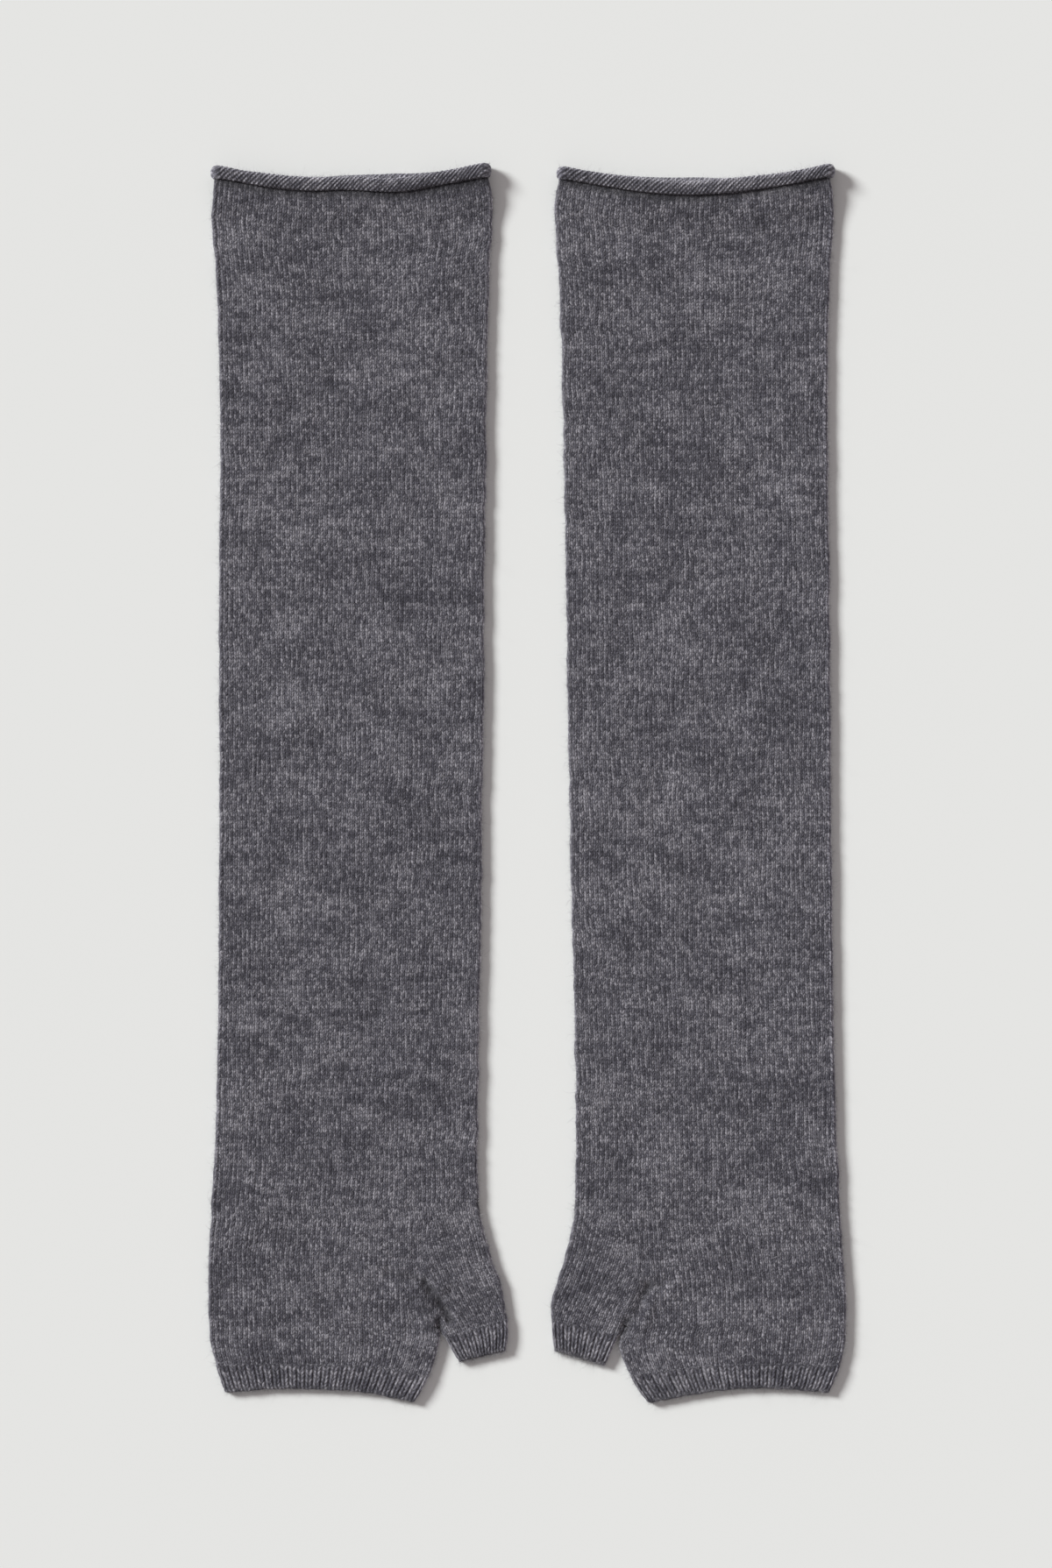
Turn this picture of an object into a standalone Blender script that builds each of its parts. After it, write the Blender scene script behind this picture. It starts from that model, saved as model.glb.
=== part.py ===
"""Pair of long fingerless gloves in fine knit, laid flat side by side on a table.

Each glove is five pieces of knitting: the arm and hand tube, the rolled edge at the top of the arm,
the ribbed cuff round the hand, the thumb tube with its gusset, and the ribbed cuff round the thumb.
Every piece is a wall of cloth round a flat hollow, with its front panel lying on its back panel.

X runs across the pair, Y along the arms from the hand cuffs up to the rolled edges, and Z up from
the table. The origin is under the middle of the pair. Lengths in this file are millimetres until a
mesh is made, which is in metres, and heights along a glove are counted up from its lowest point.
"""

import math
from collections import namedtuple

import bpy
import numpy as np

MM = 0.001
COLLECTION = "long_fingerless_gloves"

# Cloth
WALL = 1.35
HALF_GAP = 0.2
SEAM = 0.3
RIB_FURROW = 1.05
RIB_CREST = 1.65
EDGE_SWELL = 0.45
EDGE_SWELL_REACH = 9.0

# Rolled edge: its section, measured outwards from the cloth's inner face; the tables give its width
ROLL_HIGH = 3.7
ROLL_WALL = 1.2
ROLL_STATIONS = 11
ROLL_LAST_ANGLE = 190.0
ROLL_FLAT = 0.3
ROLL_RAMP = 18.0

# Where the pieces meet, measured up the glove from its lowest point
MID_LENGTH = 240.0
GUSSET_TOP = 79.0
HEM_SAG_REACH = 75.0

# Points round a tube, and the shares of the way down the thumb where it has a section
FRONT_STATIONS = 13
BACK_STATIONS = 8
FOLD_STATIONS = 3
CROWDING = 0.09
THUMB_SHARES = (0.0, 0.14, 0.32, 0.52, 0.76, 1.0)
HAND_RIBS = 24
THUMB_RIBS = 7
STATIONS_PER_RIB = 4
CUFF_SECTIONS = 3

YARN_COLOUR = (0.118, 0.113, 0.128, 1.0)
ROLL_COLOUR = (0.125, 0.120, 0.136, 1.0)
RIB_COLOUR = (0.108, 0.103, 0.118, 1.0)
YARN_ROUGHNESS = 0.92

Section = namedtuple("Section", "y little thumb")
HandSection = namedtuple("HandSection", "y little palm")
ThumbSection = namedtuple("ThumbSection", "inner_x inner_y outer_x outer_y")
HemLine = namedtuple("HemLine", "share front back wide")
CuffLine = namedtuple("CuffLine", "share start end")
Crease = namedtuple("Crease", "x0 y0 x1 y1 width rise")
Glove = namedtuple("Glove", "name centre mirror sides hand thumb hem cuff creases")

# Glove on the left of the pair: x is measured from its centre line towards its thumb
LEFT = Glove(
    name="left",
    centre=-68.6,
    mirror=1,
    sides=(
        Section(y=474.5, little=-52.3, thumb=53.7),
        Section(y=468.4, little=-53.2, thumb=54.7),
        Section(y=462.2, little=-53.7, thumb=55.1),
        Section(y=441.8, little=-52.4, thumb=53.9),
        Section(y=407.8, little=-51.0, thumb=53.0),
        Section(y=305.8, little=-51.0, thumb=52.0),
        Section(y=203.8, little=-51.0, thumb=50.8),
        Section(y=135.8, little=-51.6, thumb=49.7),
        Section(y=101.8, little=-52.5, thumb=49.0),
        Section(y=79.0, little=-53.6, thumb=49.8),
        Section(y=67.8, little=-54.2, thumb=51.5),
        Section(y=57.6, little=-54.8, thumb=54.4),
        Section(y=47.4, little=-55.1, thumb=57.8),
        Section(y=38.5, little=-55.1, thumb=60.2),
        Section(y=32.1, little=-55.0, thumb=60.9),
    ),
    hand=(
        HandSection(y=29.8, little=-54.9, palm=34.3),
        HandSection(y=26.0, little=-54.6, palm=34.7),
        HandSection(y=20.9, little=-53.6, palm=33.8),
        HandSection(y=16.2, little=-52.3, palm=32.6),
        HandSection(y=10.7, little=-50.9, palm=30.6),
        HandSection(y=6.0, little=-49.4, palm=28.2),
        HandSection(y=0.3, little=-47.6, palm=25.0),
    ),
    thumb=(
        ThumbSection(inner_x=36.9, inner_y=25.0, outer_x=60.9, outer_y=32.1),
        ThumbSection(inner_x=39.6, inner_y=19.9, outer_x=61.0, outer_y=26.0),
        ThumbSection(inner_x=42.2, inner_y=15.5, outer_x=60.2, outer_y=19.9),
    ),
    hem=(
        HemLine(share=0.0, front=476.3, back=476.3, wide=4.9),
        HemLine(share=0.17, front=473.4, back=473.4, wide=5.7),
        HemLine(share=0.33, front=471.9, back=472.2, wide=5.9),
        HemLine(share=0.5, front=472.0, back=472.8, wide=5.9),
        HemLine(share=0.67, front=471.4, back=473.5, wide=5.8),
        HemLine(share=0.83, front=473.8, back=474.1, wide=5.8),
        HemLine(share=1.0, front=477.1, back=477.1, wide=5.8),
    ),
    cuff=(
        CuffLine(share=0.0, start=14.5, end=3.9),
        CuffLine(share=0.25, start=15.1, end=5.3),
        CuffLine(share=0.5, start=14.8, end=5.1),
        CuffLine(share=0.75, start=14.1, end=3.9),
        CuffLine(share=1.0, start=10.7, end=0.3),
    ),
    creases=(
        Crease(x0=22.0, y0=50.0, x1=34.5, y1=34.5, width=2.6, rise=-0.55),
        Crease(x0=27.5, y0=55.0, x1=37.0, y1=40.5, width=2.6, rise=0.45),
        Crease(x0=16.0, y0=42.0, x1=30.0, y1=34.0, width=2.8, rise=0.4),
    ),
)

# Glove on the right of the pair, its thumb towards the other glove
RIGHT = Glove(
    name="right",
    centre=66.7,
    mirror=-1,
    sides=(
        Section(y=474.5, little=-50.6, thumb=54.7),
        Section(y=468.4, little=-51.5, thumb=55.6),
        Section(y=462.2, little=-51.9, thumb=56.1),
        Section(y=441.8, little=-50.7, thumb=54.9),
        Section(y=407.8, little=-49.8, thumb=53.4),
        Section(y=305.8, little=-50.5, thumb=51.7),
        Section(y=203.8, little=-51.2, thumb=49.8),
        Section(y=135.8, little=-52.2, thumb=48.5),
        Section(y=101.8, little=-53.2, thumb=47.9),
        Section(y=79.0, little=-54.2, thumb=48.3),
        Section(y=67.8, little=-54.9, thumb=49.3),
        Section(y=57.6, little=-55.6, thumb=52.0),
        Section(y=47.4, little=-56.4, thumb=55.4),
        Section(y=38.5, little=-56.9, thumb=57.3),
        Section(y=32.5, little=-57.0, thumb=57.3),
    ),
    hand=(
        HandSection(y=31.1, little=-57.0, palm=27.9),
        HandSection(y=26.4, little=-56.8, palm=30.6),
        HandSection(y=22.6, little=-56.3, palm=31.2),
        HandSection(y=18.0, little=-55.5, palm=30.2),
        HandSection(y=12.8, little=-53.8, palm=28.0),
        HandSection(y=6.6, little=-51.3, palm=24.8),
        HandSection(y=0.0, little=-48.4, palm=20.2),
    ),
    thumb=(
        ThumbSection(inner_x=31.6, inner_y=25.7, outer_x=57.3, outer_y=32.0),
        ThumbSection(inner_x=34.3, inner_y=19.9, outer_x=57.0, outer_y=26.0),
        ThumbSection(inner_x=36.7, inner_y=14.1, outer_x=56.4, outer_y=19.9),
    ),
    hem=(
        HemLine(share=0.0, front=476.9, back=476.9, wide=5.2),
        HemLine(share=0.17, front=473.6, back=473.7, wide=5.6),
        HemLine(share=0.33, front=471.7, back=472.0, wide=5.9),
        HemLine(share=0.5, front=470.3, back=471.8, wide=6.0),
        HemLine(share=0.67, front=471.0, back=472.0, wide=6.0),
        HemLine(share=0.83, front=473.1, back=473.3, wide=5.5),
        HemLine(share=1.0, front=476.0, back=476.0, wide=4.8),
    ),
    cuff=(
        CuffLine(share=0.0, start=14.5, end=3.9),
        CuffLine(share=0.25, start=15.1, end=5.3),
        CuffLine(share=0.5, start=14.8, end=5.3),
        CuffLine(share=0.75, start=13.4, end=3.2),
        CuffLine(share=1.0, start=10.7, end=0.0),
    ),
    creases=(
        Crease(x0=14.0, y0=49.0, x1=27.0, y1=33.5, width=2.6, rise=-0.55),
        Crease(x0=19.5, y0=54.0, x1=28.5, y1=39.0, width=2.6, rise=0.45),
        Crease(x0=8.0, y0=41.0, x1=21.5, y1=33.0, width=2.8, rise=0.4),
    ),
)

GLOVES = (LEFT, RIGHT)


def smooth(at, knots, values):
    """Values at the places asked for, on a cubic curve that runs smoothly through the knots."""
    order = np.argsort(knots)
    knots = np.asarray(knots, float)[order]
    values = np.asarray(values, float)[order]
    slopes = np.gradient(values, knots)
    at = np.clip(at, knots[0], knots[-1])
    left = np.clip(np.searchsorted(knots, at) - 1, 0, len(knots) - 2)
    step = knots[left + 1] - knots[left]
    t = (at - knots[left]) / step
    return (
        values[left] * (1 + 2 * t) * (1 - t) ** 2
        + slopes[left] * step * t * (1 - t) ** 2
        + values[left + 1] * t**2 * (3 - 2 * t)
        + slopes[left + 1] * step * t**2 * (t - 1)
    )


def column(rows, name):
    """One named column of a table of rows."""
    return [getattr(row, name) for row in rows]


def ease(share):
    """Smooth step from 0 to 1."""
    share = np.clip(share, 0.0, 1.0)
    return share * share * (3.0 - 2.0 * share)


def little_side(glove, y):
    """The outline on the little finger's side, from the hem to the hand cuff."""
    rows = glove.sides + glove.hand
    return smooth(y, column(rows, "y"), column(rows, "little"))


def thumb_side(glove, y):
    """The outline on the thumb's side, down to the thumb's cuff."""
    return smooth(y, column(glove.sides, "y"), column(glove.sides, "thumb"))


def palm_side(glove, y):
    """The hand's own outline under the thumb, from the crotch down."""
    return smooth(y, column(glove.hand, "y"), column(glove.hand, "palm"))


def hem_line(glove, ring):
    """Height of the rolled edge's middle, and its width, at each point round the opening."""
    share = column(glove.hem, "share")
    front = smooth(ring.share, share, column(glove.hem, "front"))
    back = smooth(ring.share, share, column(glove.hem, "back"))
    wide = smooth(ring.share, share, column(glove.hem, "wide"))
    return np.where(ring.is_front, front, back), wide


def cuff_line(glove, share, edge):
    """Height of the hand cuff's start or end across the panel."""
    return smooth(share, column(glove.cuff, "share"), column(glove.cuff, edge))


def crease_rise(glove, x, y):
    """Height of the creases beside the crotch: soft troughs and ridges along short straight lines."""
    rise = np.zeros(np.broadcast(x, y).shape)
    for fold in glove.creases:
        run = np.array([fold.x1 - fold.x0, fold.y1 - fold.y0])
        length = np.hypot(*run)
        along = ((x - fold.x0) * run[0] + (y - fold.y0) * run[1]) / length**2
        beside = ((x - fold.x0) * run[1] - (y - fold.y0) * run[0]) / length
        past = np.maximum(np.abs(along - 0.5) - 0.5, 0.0) * length
        rise += fold.rise * np.exp(-(beside / fold.width) ** 2 - (past / fold.width) ** 2)
    return rise


class Round:
    """The points once round a flattened tube: across the front, over the thumb side's fold,
    back across the back panel, and over the little side's fold.

    share is the way across from the little side, and angle is the direction outwards, with 90
    degrees up and 0 out at the thumb side. Crowding draws the points together near the folds.
    """

    def __init__(self, front, back, crowding=0.0):
        across = np.linspace(0.0, 1.0, front)
        across = across - crowding * np.sin(2.0 * math.pi * across)
        under = np.linspace(1.0, 0.0, back)
        under = under - crowding * np.sin(2.0 * math.pi * under)
        turn = math.pi / (FOLD_STATIONS + 1) * np.arange(1, FOLD_STATIONS + 1)
        up = math.pi / 2
        self.front = front
        self.thumb_fold = slice(front - 1, front + FOLD_STATIONS)
        self.share = np.concatenate(
            [across, np.ones(FOLD_STATIONS), under, np.zeros(FOLD_STATIONS)]
        )
        self.angle = np.concatenate(
            [np.full(front, up), up - turn, np.full(back, -up), -up - turn]
        )
        self.upwards = np.maximum(np.sin(self.angle), 0.0)
        self.is_front = np.arange(len(self.share)) < front


def place(ring, little, thumb, little_out, thumb_out, depth, middle, sag=0.0, rise=0.0):
    """Points of one face of a flattened tube, as rows by stations by xyz.

    little and thumb are the places where each row's folds turn, and little_out and thumb_out the
    directions in which they bulge. depth is the distance outwards from the flat hollow's middle,
    middle its height over the table, sag the bow of a row along Y, and rise lifts the front alone.
    """
    share = ring.share[None, :, None]
    line = little[:, None, :] * (1.0 - share) + thumb[:, None, :] * share
    bulge = np.where(share > 0.5, thumb_out[:, None, :], little_out[:, None, :])
    reach = np.abs(np.cos(ring.angle))[None, :] * depth
    flat = line + bulge * reach[..., None]
    flat[..., 1] += sag
    height = middle + np.sin(ring.angle)[None, :] * depth + rise * ring.upwards[None, :]
    return np.dstack([flat[..., 0], flat[..., 1], height])


def fold_turns(silhouette, outwards):
    """Where the folds turn, so that the cloth's outer face reaches the silhouette."""
    return silhouette - outwards * (HALF_GAP + WALL)


def tube_faces(rows, stations, kept):
    """Faces of a cloth wall from two grids of points: outer, inner, and the rims that join them."""
    index = np.arange(rows * stations).reshape(rows, stations)
    near = index[:-1]
    far = index[1:]
    quads = np.stack([near, np.roll(near, -1, 1), np.roll(far, -1, 1), far], axis=-1)
    outer = quads[kept]
    inner = outer[:, ::-1] + rows * stations
    edges = np.concatenate([outer[:, [i, (i + 1) % 4]] for i in range(4)])
    paired = {(b, a) for a, b in edges.tolist()}
    open_edges = np.array([edge for edge in edges.tolist() if tuple(edge) not in paired])
    rims = np.column_stack([open_edges[:, ::-1], open_edges + rows * stations])
    return np.concatenate([outer, inner, rims])


def roll_faces(stations, corners):
    """Faces of a section carried once round the opening, closed both ways."""
    index = np.arange(stations * corners).reshape(stations, corners)
    ahead = np.roll(index, -1, 0)
    quads = np.stack([index, np.roll(index, -1, 1), np.roll(ahead, -1, 1), ahead], axis=-1)
    return quads.reshape(-1, 4)


def cloth_material(name, colour):
    """Plain wool: rough, with no metal."""
    material = bpy.data.materials.new(name)
    material.use_nodes = True
    shader = material.node_tree.nodes["Principled BSDF"]
    shader.inputs["Base Color"].default_value = colour
    shader.inputs["Roughness"].default_value = YARN_ROUGHNESS
    shader.inputs["Metallic"].default_value = 0.0
    material.diffuse_color = colour
    return material


def add_piece(glove, piece, points, faces, colour, collection):
    """One piece of knitting as a named object, placed in the pair and turned right side out."""
    used, faces = np.unique(faces, return_inverse=True)
    faces = faces.reshape(-1, 4)
    points = points.reshape(-1, 3)[used]
    points = points * [glove.mirror, 1.0, 1.0] + [glove.centre, -MID_LENGTH, 0.0]
    if glove.mirror < 0:
        faces = faces[:, ::-1]
    name = f"{glove.name}_{piece}"
    mesh = bpy.data.meshes.new(name)
    mesh.from_pydata((points * MM).tolist(), [], faces.tolist())
    mesh.update()
    mesh.shade_smooth()
    mesh.set_sharp_from_angle(angle=math.radians(50))
    mesh.materials.append(cloth_material(name, colour))
    collection.objects.link(bpy.data.objects.new(name, mesh))


def add_wall(glove, piece, outer, inner, kept, colour, collection):
    """A wall of cloth from its outer and inner points."""
    rows, stations, _ = outer.shape
    faces = tube_faces(rows, stations, kept)
    add_piece(glove, piece, np.stack([outer, inner]), faces, colour, collection)


def arm_rows(glove):
    """Heights of the arm tube's sections at the little side, closer together where it changes."""
    corner = glove.hem[0]
    top = corner.front - corner.wide / 2 - SEAM
    crotch = glove.hand[0].y
    start = cuff_line(glove, 0.0, "start") + SEAM
    return np.concatenate(
        [
            np.linspace(start, crotch, 4),
            np.linspace(crotch, GUSSET_TOP, 10)[1:],
            np.linspace(GUSSET_TOP, top - ROLL_RAMP, 13)[1:],
            np.linspace(top - ROLL_RAMP, top, 4)[1:],
        ]
    )


def join_line(glove):
    """The two ends of the seam between hand and gusset: just above the crotch, and at its top."""
    crotch = glove.hand[0]
    turn = HALF_GAP + WALL
    low = np.array([crotch.palm + SEAM, crotch.y + turn + 0.1])
    high = np.array([thumb_side(glove, GUSSET_TOP) - turn, GUSSET_TOP - 2 * SEAM])
    return low, high


def build_arm(glove, collection):
    """The arm and hand tube, open along the thumb's side where the gusset joins it."""
    ring = Round(FRONT_STATIONS, BACK_STATIONS, CROWDING)
    rows = arm_rows(glove)
    crotch = glove.hand[0].y
    start = rows[0]
    top = rows[-1]
    to_cuff = np.clip((crotch - rows) / (crotch - start), 0.0, 1.0)[:, None]
    to_hem = ease((rows - top + HEM_SAG_REACH) / HEM_SAG_REACH)[:, None]
    line, wide = hem_line(glove, ring)
    hem_bow = line - wide / 2 - SEAM - top
    cuff_bow = cuff_line(glove, ring.share, "start") - cuff_line(glove, 0.0, "start")
    sag = to_cuff * cuff_bow + to_hem * hem_bow

    thumb_y = rows + (to_cuff * cuff_bow[ring.front - 1])[:, 0]
    low, high = join_line(glove)
    slope = (high[0] - low[0]) / (high[1] - low[1])
    join = low[0] + (rows - low[1]) * slope - SEAM * math.hypot(1.0, slope)
    turn = HALF_GAP + WALL
    joined = (rows > crotch + SEAM) & (rows < GUSSET_TOP - SEAM)
    thumb = np.where(rows > crotch + SEAM, thumb_side(glove, rows), palm_side(glove, thumb_y)) - turn
    thumb = np.where(joined, join, thumb)
    little = little_side(glove, rows) + turn

    little_place = np.column_stack([little, rows])
    thumb_place = np.column_stack([thumb, rows])
    little_out = np.tile([-1.0, 0.0], (len(rows), 1))
    x = little[:, None] * (1.0 - ring.share) + thumb[:, None] * ring.share
    reach = np.minimum(x - little[:, None], thumb[:, None] - x)
    swell = EDGE_SWELL * np.exp(-((reach / EDGE_SWELL_REACH) ** 2)) * ~joined[:, None]
    crease = crease_rise(glove, x, rows[:, None] + sag)
    near_hem = ease((rows - top + ROLL_RAMP) / ROLL_RAMP)
    middle = (turn + near_hem * (ROLL_HIGH - WALL))[:, None]
    faces = []
    for depth, crease_share in ((turn, 1.0), (HALF_GAP, 0.35)):
        rise = swell + crease * crease_share
        faces.append(
            place(ring, little_place, thumb_place, little_out, -little_out, depth, middle, sag, rise)
        )
    kept = np.ones((len(rows) - 1, len(ring.share)), bool)
    opened = (rows[:-1] > crotch - SEAM) & (rows[:-1] < GUSSET_TOP - SEAM)
    kept[opened, ring.thumb_fold] = False
    add_wall(glove, "arm", faces[0], faces[1], kept, YARN_COLOUR, collection)


def build_thumb(glove, collection):
    """The thumb tube and its gusset, fanned from the seam beside the hand to the thumb's cuff."""
    ring = Round(7, 4)
    shares = np.array(THUMB_SHARES)
    end = glove.thumb[0]
    turn = HALF_GAP + WALL
    low, high = join_line(glove)
    inner = np.outer(1.0 - shares, low) + np.outer(shares, [end.inner_x, end.inner_y])
    inner_out = np.outer(1.0 - shares, [0.0, -1.0]) + np.outer(shares, [-0.88, -0.47])
    inner_out /= np.linalg.norm(inner_out, axis=1)[:, None]
    inner[1:] -= inner_out[1:] * turn
    outer_y = high[1] + (end.outer_y - high[1]) * shares
    outer_out = np.tile([1.0, 0.0], (len(shares), 1))
    outer = fold_turns(np.column_stack([thumb_side(glove, outer_y), outer_y]), outer_out)
    seam_gap = SEAM * shares[-1]
    inner[-1] += [-0.45 * seam_gap, 0.9 * seam_gap]
    outer[-1] += [0.0, seam_gap]
    middle = np.full((len(shares), 1), turn)
    x = inner[:, :1] * (1.0 - ring.share) + outer[:, :1] * ring.share
    swell = EDGE_SWELL * ease(shares)[:, None] * np.ones_like(x)
    walls = [
        place(ring, inner, outer, inner_out, outer_out, depth, middle, 0.0, swell)
        for depth in (turn, HALF_GAP)
    ]
    kept = np.ones((len(shares) - 1, len(ring.share)), bool)
    add_wall(glove, "thumb", walls[0][::-1], walls[1][::-1], kept, YARN_COLOUR, collection)


def rib_depth(ring, ribs):
    """Distance out to the ribbed face: ribs over the front, plain over the folds and underneath."""
    rib = RIB_FURROW + (RIB_CREST - RIB_FURROW) * np.abs(np.sin(math.pi * ribs * ring.share))
    return HALF_GAP + np.where(ring.is_front, rib, WALL)


def build_hand_rib(glove, collection):
    """The ribbed cuff round the hand, below the arm tube."""
    ring = Round(HAND_RIBS * STATIONS_PER_RIB + 1, BACK_STATIONS)
    down = np.linspace(0.0, 1.0, CUFF_SECTIONS)
    start = cuff_line(glove, ring.share, "start")
    end = cuff_line(glove, ring.share, "end")
    height = start + np.outer(down, end - start)
    turn = HALF_GAP + WALL
    little_y = height[:, 0]
    thumb_y = height[:, ring.front - 1]
    little = np.column_stack([little_side(glove, little_y) + turn, np.zeros(CUFF_SECTIONS)])
    thumb = np.column_stack([palm_side(glove, thumb_y) - turn, np.zeros(CUFF_SECTIONS)])
    little_out = np.tile([-1.0, 0.0], (CUFF_SECTIONS, 1))
    middle = np.full((CUFF_SECTIONS, 1), turn)
    depths = (rib_depth(ring, HAND_RIBS)[None, :], HALF_GAP)
    walls = [
        place(ring, little, thumb, little_out, -little_out, depth, middle, height, EDGE_SWELL)
        for depth in depths
    ]
    kept = np.ones((CUFF_SECTIONS - 1, len(ring.share)), bool)
    add_wall(glove, "hand_rib", walls[0][::-1], walls[1][::-1], kept, RIB_COLOUR, collection)


def build_thumb_rib(glove, collection):
    """The ribbed cuff round the thumb, beyond the thumb tube."""
    ring = Round(THUMB_RIBS * STATIONS_PER_RIB + 1, 4)
    inner = np.column_stack([column(glove.thumb, "inner_x"), column(glove.thumb, "inner_y")])
    outer = np.column_stack([column(glove.thumb, "outer_x"), column(glove.thumb, "outer_y")])
    inner_out = np.tile([-0.88, -0.47], (len(inner), 1))
    outer_out = np.tile([1.0, 0.0], (len(outer), 1))
    middle = np.full((len(inner), 1), HALF_GAP + WALL)
    depths = (rib_depth(ring, THUMB_RIBS)[None, :], HALF_GAP)
    walls = [
        place(
            ring,
            fold_turns(inner, inner_out),
            fold_turns(outer, outer_out),
            inner_out,
            outer_out,
            depth,
            middle,
            0.0,
            EDGE_SWELL,
        )
        for depth in depths
    ]
    kept = np.ones((len(inner) - 1, len(ring.share)), bool)
    add_wall(glove, "thumb_rib", walls[0][::-1], walls[1][::-1], kept, RIB_COLOUR, collection)


def roll_section(wide):
    """Outline of the curled cloth, as distances along the arm and outwards from its inner face.

    The cloth lies flat for a short way and then turns outwards and back over itself on an oval.
    """
    half_wall = ROLL_WALL / 2
    along = wide / 2 - half_wall
    out = ROLL_HIGH / 2 - half_wall
    angles = np.radians(np.linspace(-90.0, ROLL_LAST_ANGLE, ROLL_STATIONS - 1))
    path = np.column_stack([along * np.cos(angles), ROLL_HIGH / 2 + out * np.sin(angles)])
    path = np.vstack([[-wide / 2, half_wall], [-ROLL_FLAT * along, half_wall], path[1:]])
    heading = np.gradient(path, axis=0)
    heading /= np.linalg.norm(heading, axis=1)[:, None]
    left = np.column_stack([-heading[:, 1], heading[:, 0]]) * half_wall
    return np.vstack([path - left, (path + left)[::-1]])


def build_rolled_edge(glove, collection):
    """The edge of the knitting curled outwards, once round the top of the arm."""
    ring = Round(FRONT_STATIONS, BACK_STATIONS, CROWDING)
    line, wide = hem_line(glove, ring)
    section = np.stack([roll_section(width) for width in wide])
    reach = HALF_GAP + ROLL_HIGH
    little = glove.sides[1].little + reach
    thumb = glove.sides[1].thumb - reach
    side = np.where(ring.share > 0.5, 1.0, -1.0) * np.abs(np.cos(ring.angle))
    depth = HALF_GAP + section[..., 1]
    x = (little * (1.0 - ring.share) + thumb * ring.share)[:, None] + side[:, None] * depth
    y = line[:, None] + section[..., 0]
    z = reach + np.sin(ring.angle)[:, None] * depth
    points = np.dstack([x, y, z])
    faces = roll_faces(*section.shape[:2])
    add_piece(glove, "rolled_edge", points, faces, ROLL_COLOUR, collection)


def main():
    for old in list(bpy.data.objects):
        bpy.data.objects.remove(old, do_unlink=True)
    collection = bpy.data.collections.new(COLLECTION)
    bpy.context.scene.collection.children.link(collection)
    for glove in GLOVES:
        build_arm(glove, collection)
        build_rolled_edge(glove, collection)
        build_hand_rib(glove, collection)
        build_thumb(glove, collection)
        build_thumb_rib(glove, collection)


main()
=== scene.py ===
"""Looks of a pair of long fingerless gloves in fine marled wool, laid flat and seen from straight above.

Every piece of knitting is a wall of cloth worked out with numpy on a grid: once round the flattened tube,
and along it. Shapes are worked out in millimetres on a glove that lies with its thumb on the +x side, and are
then mirrored, placed in the pair and turned into metres.
"""

import logging
import math
from dataclasses import dataclass, field
from enum import Enum
from typing import Callable, NamedTuple

import bpy
import numpy as np
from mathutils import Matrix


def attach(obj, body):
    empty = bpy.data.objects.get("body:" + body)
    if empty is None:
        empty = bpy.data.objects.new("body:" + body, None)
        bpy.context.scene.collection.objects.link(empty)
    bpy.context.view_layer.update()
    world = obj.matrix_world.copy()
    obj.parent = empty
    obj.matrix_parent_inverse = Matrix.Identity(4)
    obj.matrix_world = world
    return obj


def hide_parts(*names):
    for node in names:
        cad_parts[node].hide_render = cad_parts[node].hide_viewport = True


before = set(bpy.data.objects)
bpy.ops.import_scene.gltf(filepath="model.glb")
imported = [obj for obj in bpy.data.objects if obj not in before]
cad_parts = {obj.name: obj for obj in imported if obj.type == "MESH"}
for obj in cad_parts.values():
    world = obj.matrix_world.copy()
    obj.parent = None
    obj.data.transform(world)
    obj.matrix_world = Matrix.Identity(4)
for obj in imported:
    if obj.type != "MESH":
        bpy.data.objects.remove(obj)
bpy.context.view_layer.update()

MM = 0.001
STITCH_MAP = "stitches"
PAINTED_SHADE_AND_LIGHT = "painted_shade_and_light"
FOLD_FULLNESS = 0.7
BODY = "root"
FULL_TURN = 2.0 * math.pi
UNDER_THUMB = (-0.88, -0.47)
SEAM_STEP = 0.25
DRIFT_WAVES = ((0.16, 34.0), (0.07, 11.0), (0.03, 4.5))

log = logging.getLogger("gloves")

Array = np.ndarray
Colour = tuple[float, float, float, float]
Inputs = dict[str | int, object]


class Section(NamedTuple):
    """The glove's outline at one height: x of the little finger's side and of the thumb's side."""

    y: float
    little: float
    thumb: float


class HandSection(NamedTuple):
    """The hand's outline at one height below the thumb's crotch."""

    y: float
    little: float
    palm: float


class ThumbSection(NamedTuple):
    """The two ends of a line across the thumb."""

    inner_x: float
    inner_y: float
    outer_x: float
    outer_y: float


class HemLine(NamedTuple):
    """Height of the rolled edge's middle on the front and back panels, and its width, part way across."""

    share: float
    front: float
    back: float
    wide: float


class CuffLine(NamedTuple):
    """Heights where the hand's rib starts and ends, part way across."""

    share: float
    start: float
    end: float


class Crease(NamedTuple):
    """A soft fold along a short straight line: a ridge where rise is over zero, or else a trough."""

    x0: float
    y0: float
    x1: float
    y1: float
    width: float
    rise: float


class GussetRow(NamedTuple):
    """At one height: x where the gusset's wales begin and where its last one runs, their pitch and tilt."""

    y: float
    x: float
    edge: float
    wale: float
    tilt: float


class Slot(Enum):
    """The record's material slots."""

    JERSEY = "jersey"
    ROLLED = "rolled_jersey"
    RIB = "rib"


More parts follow.
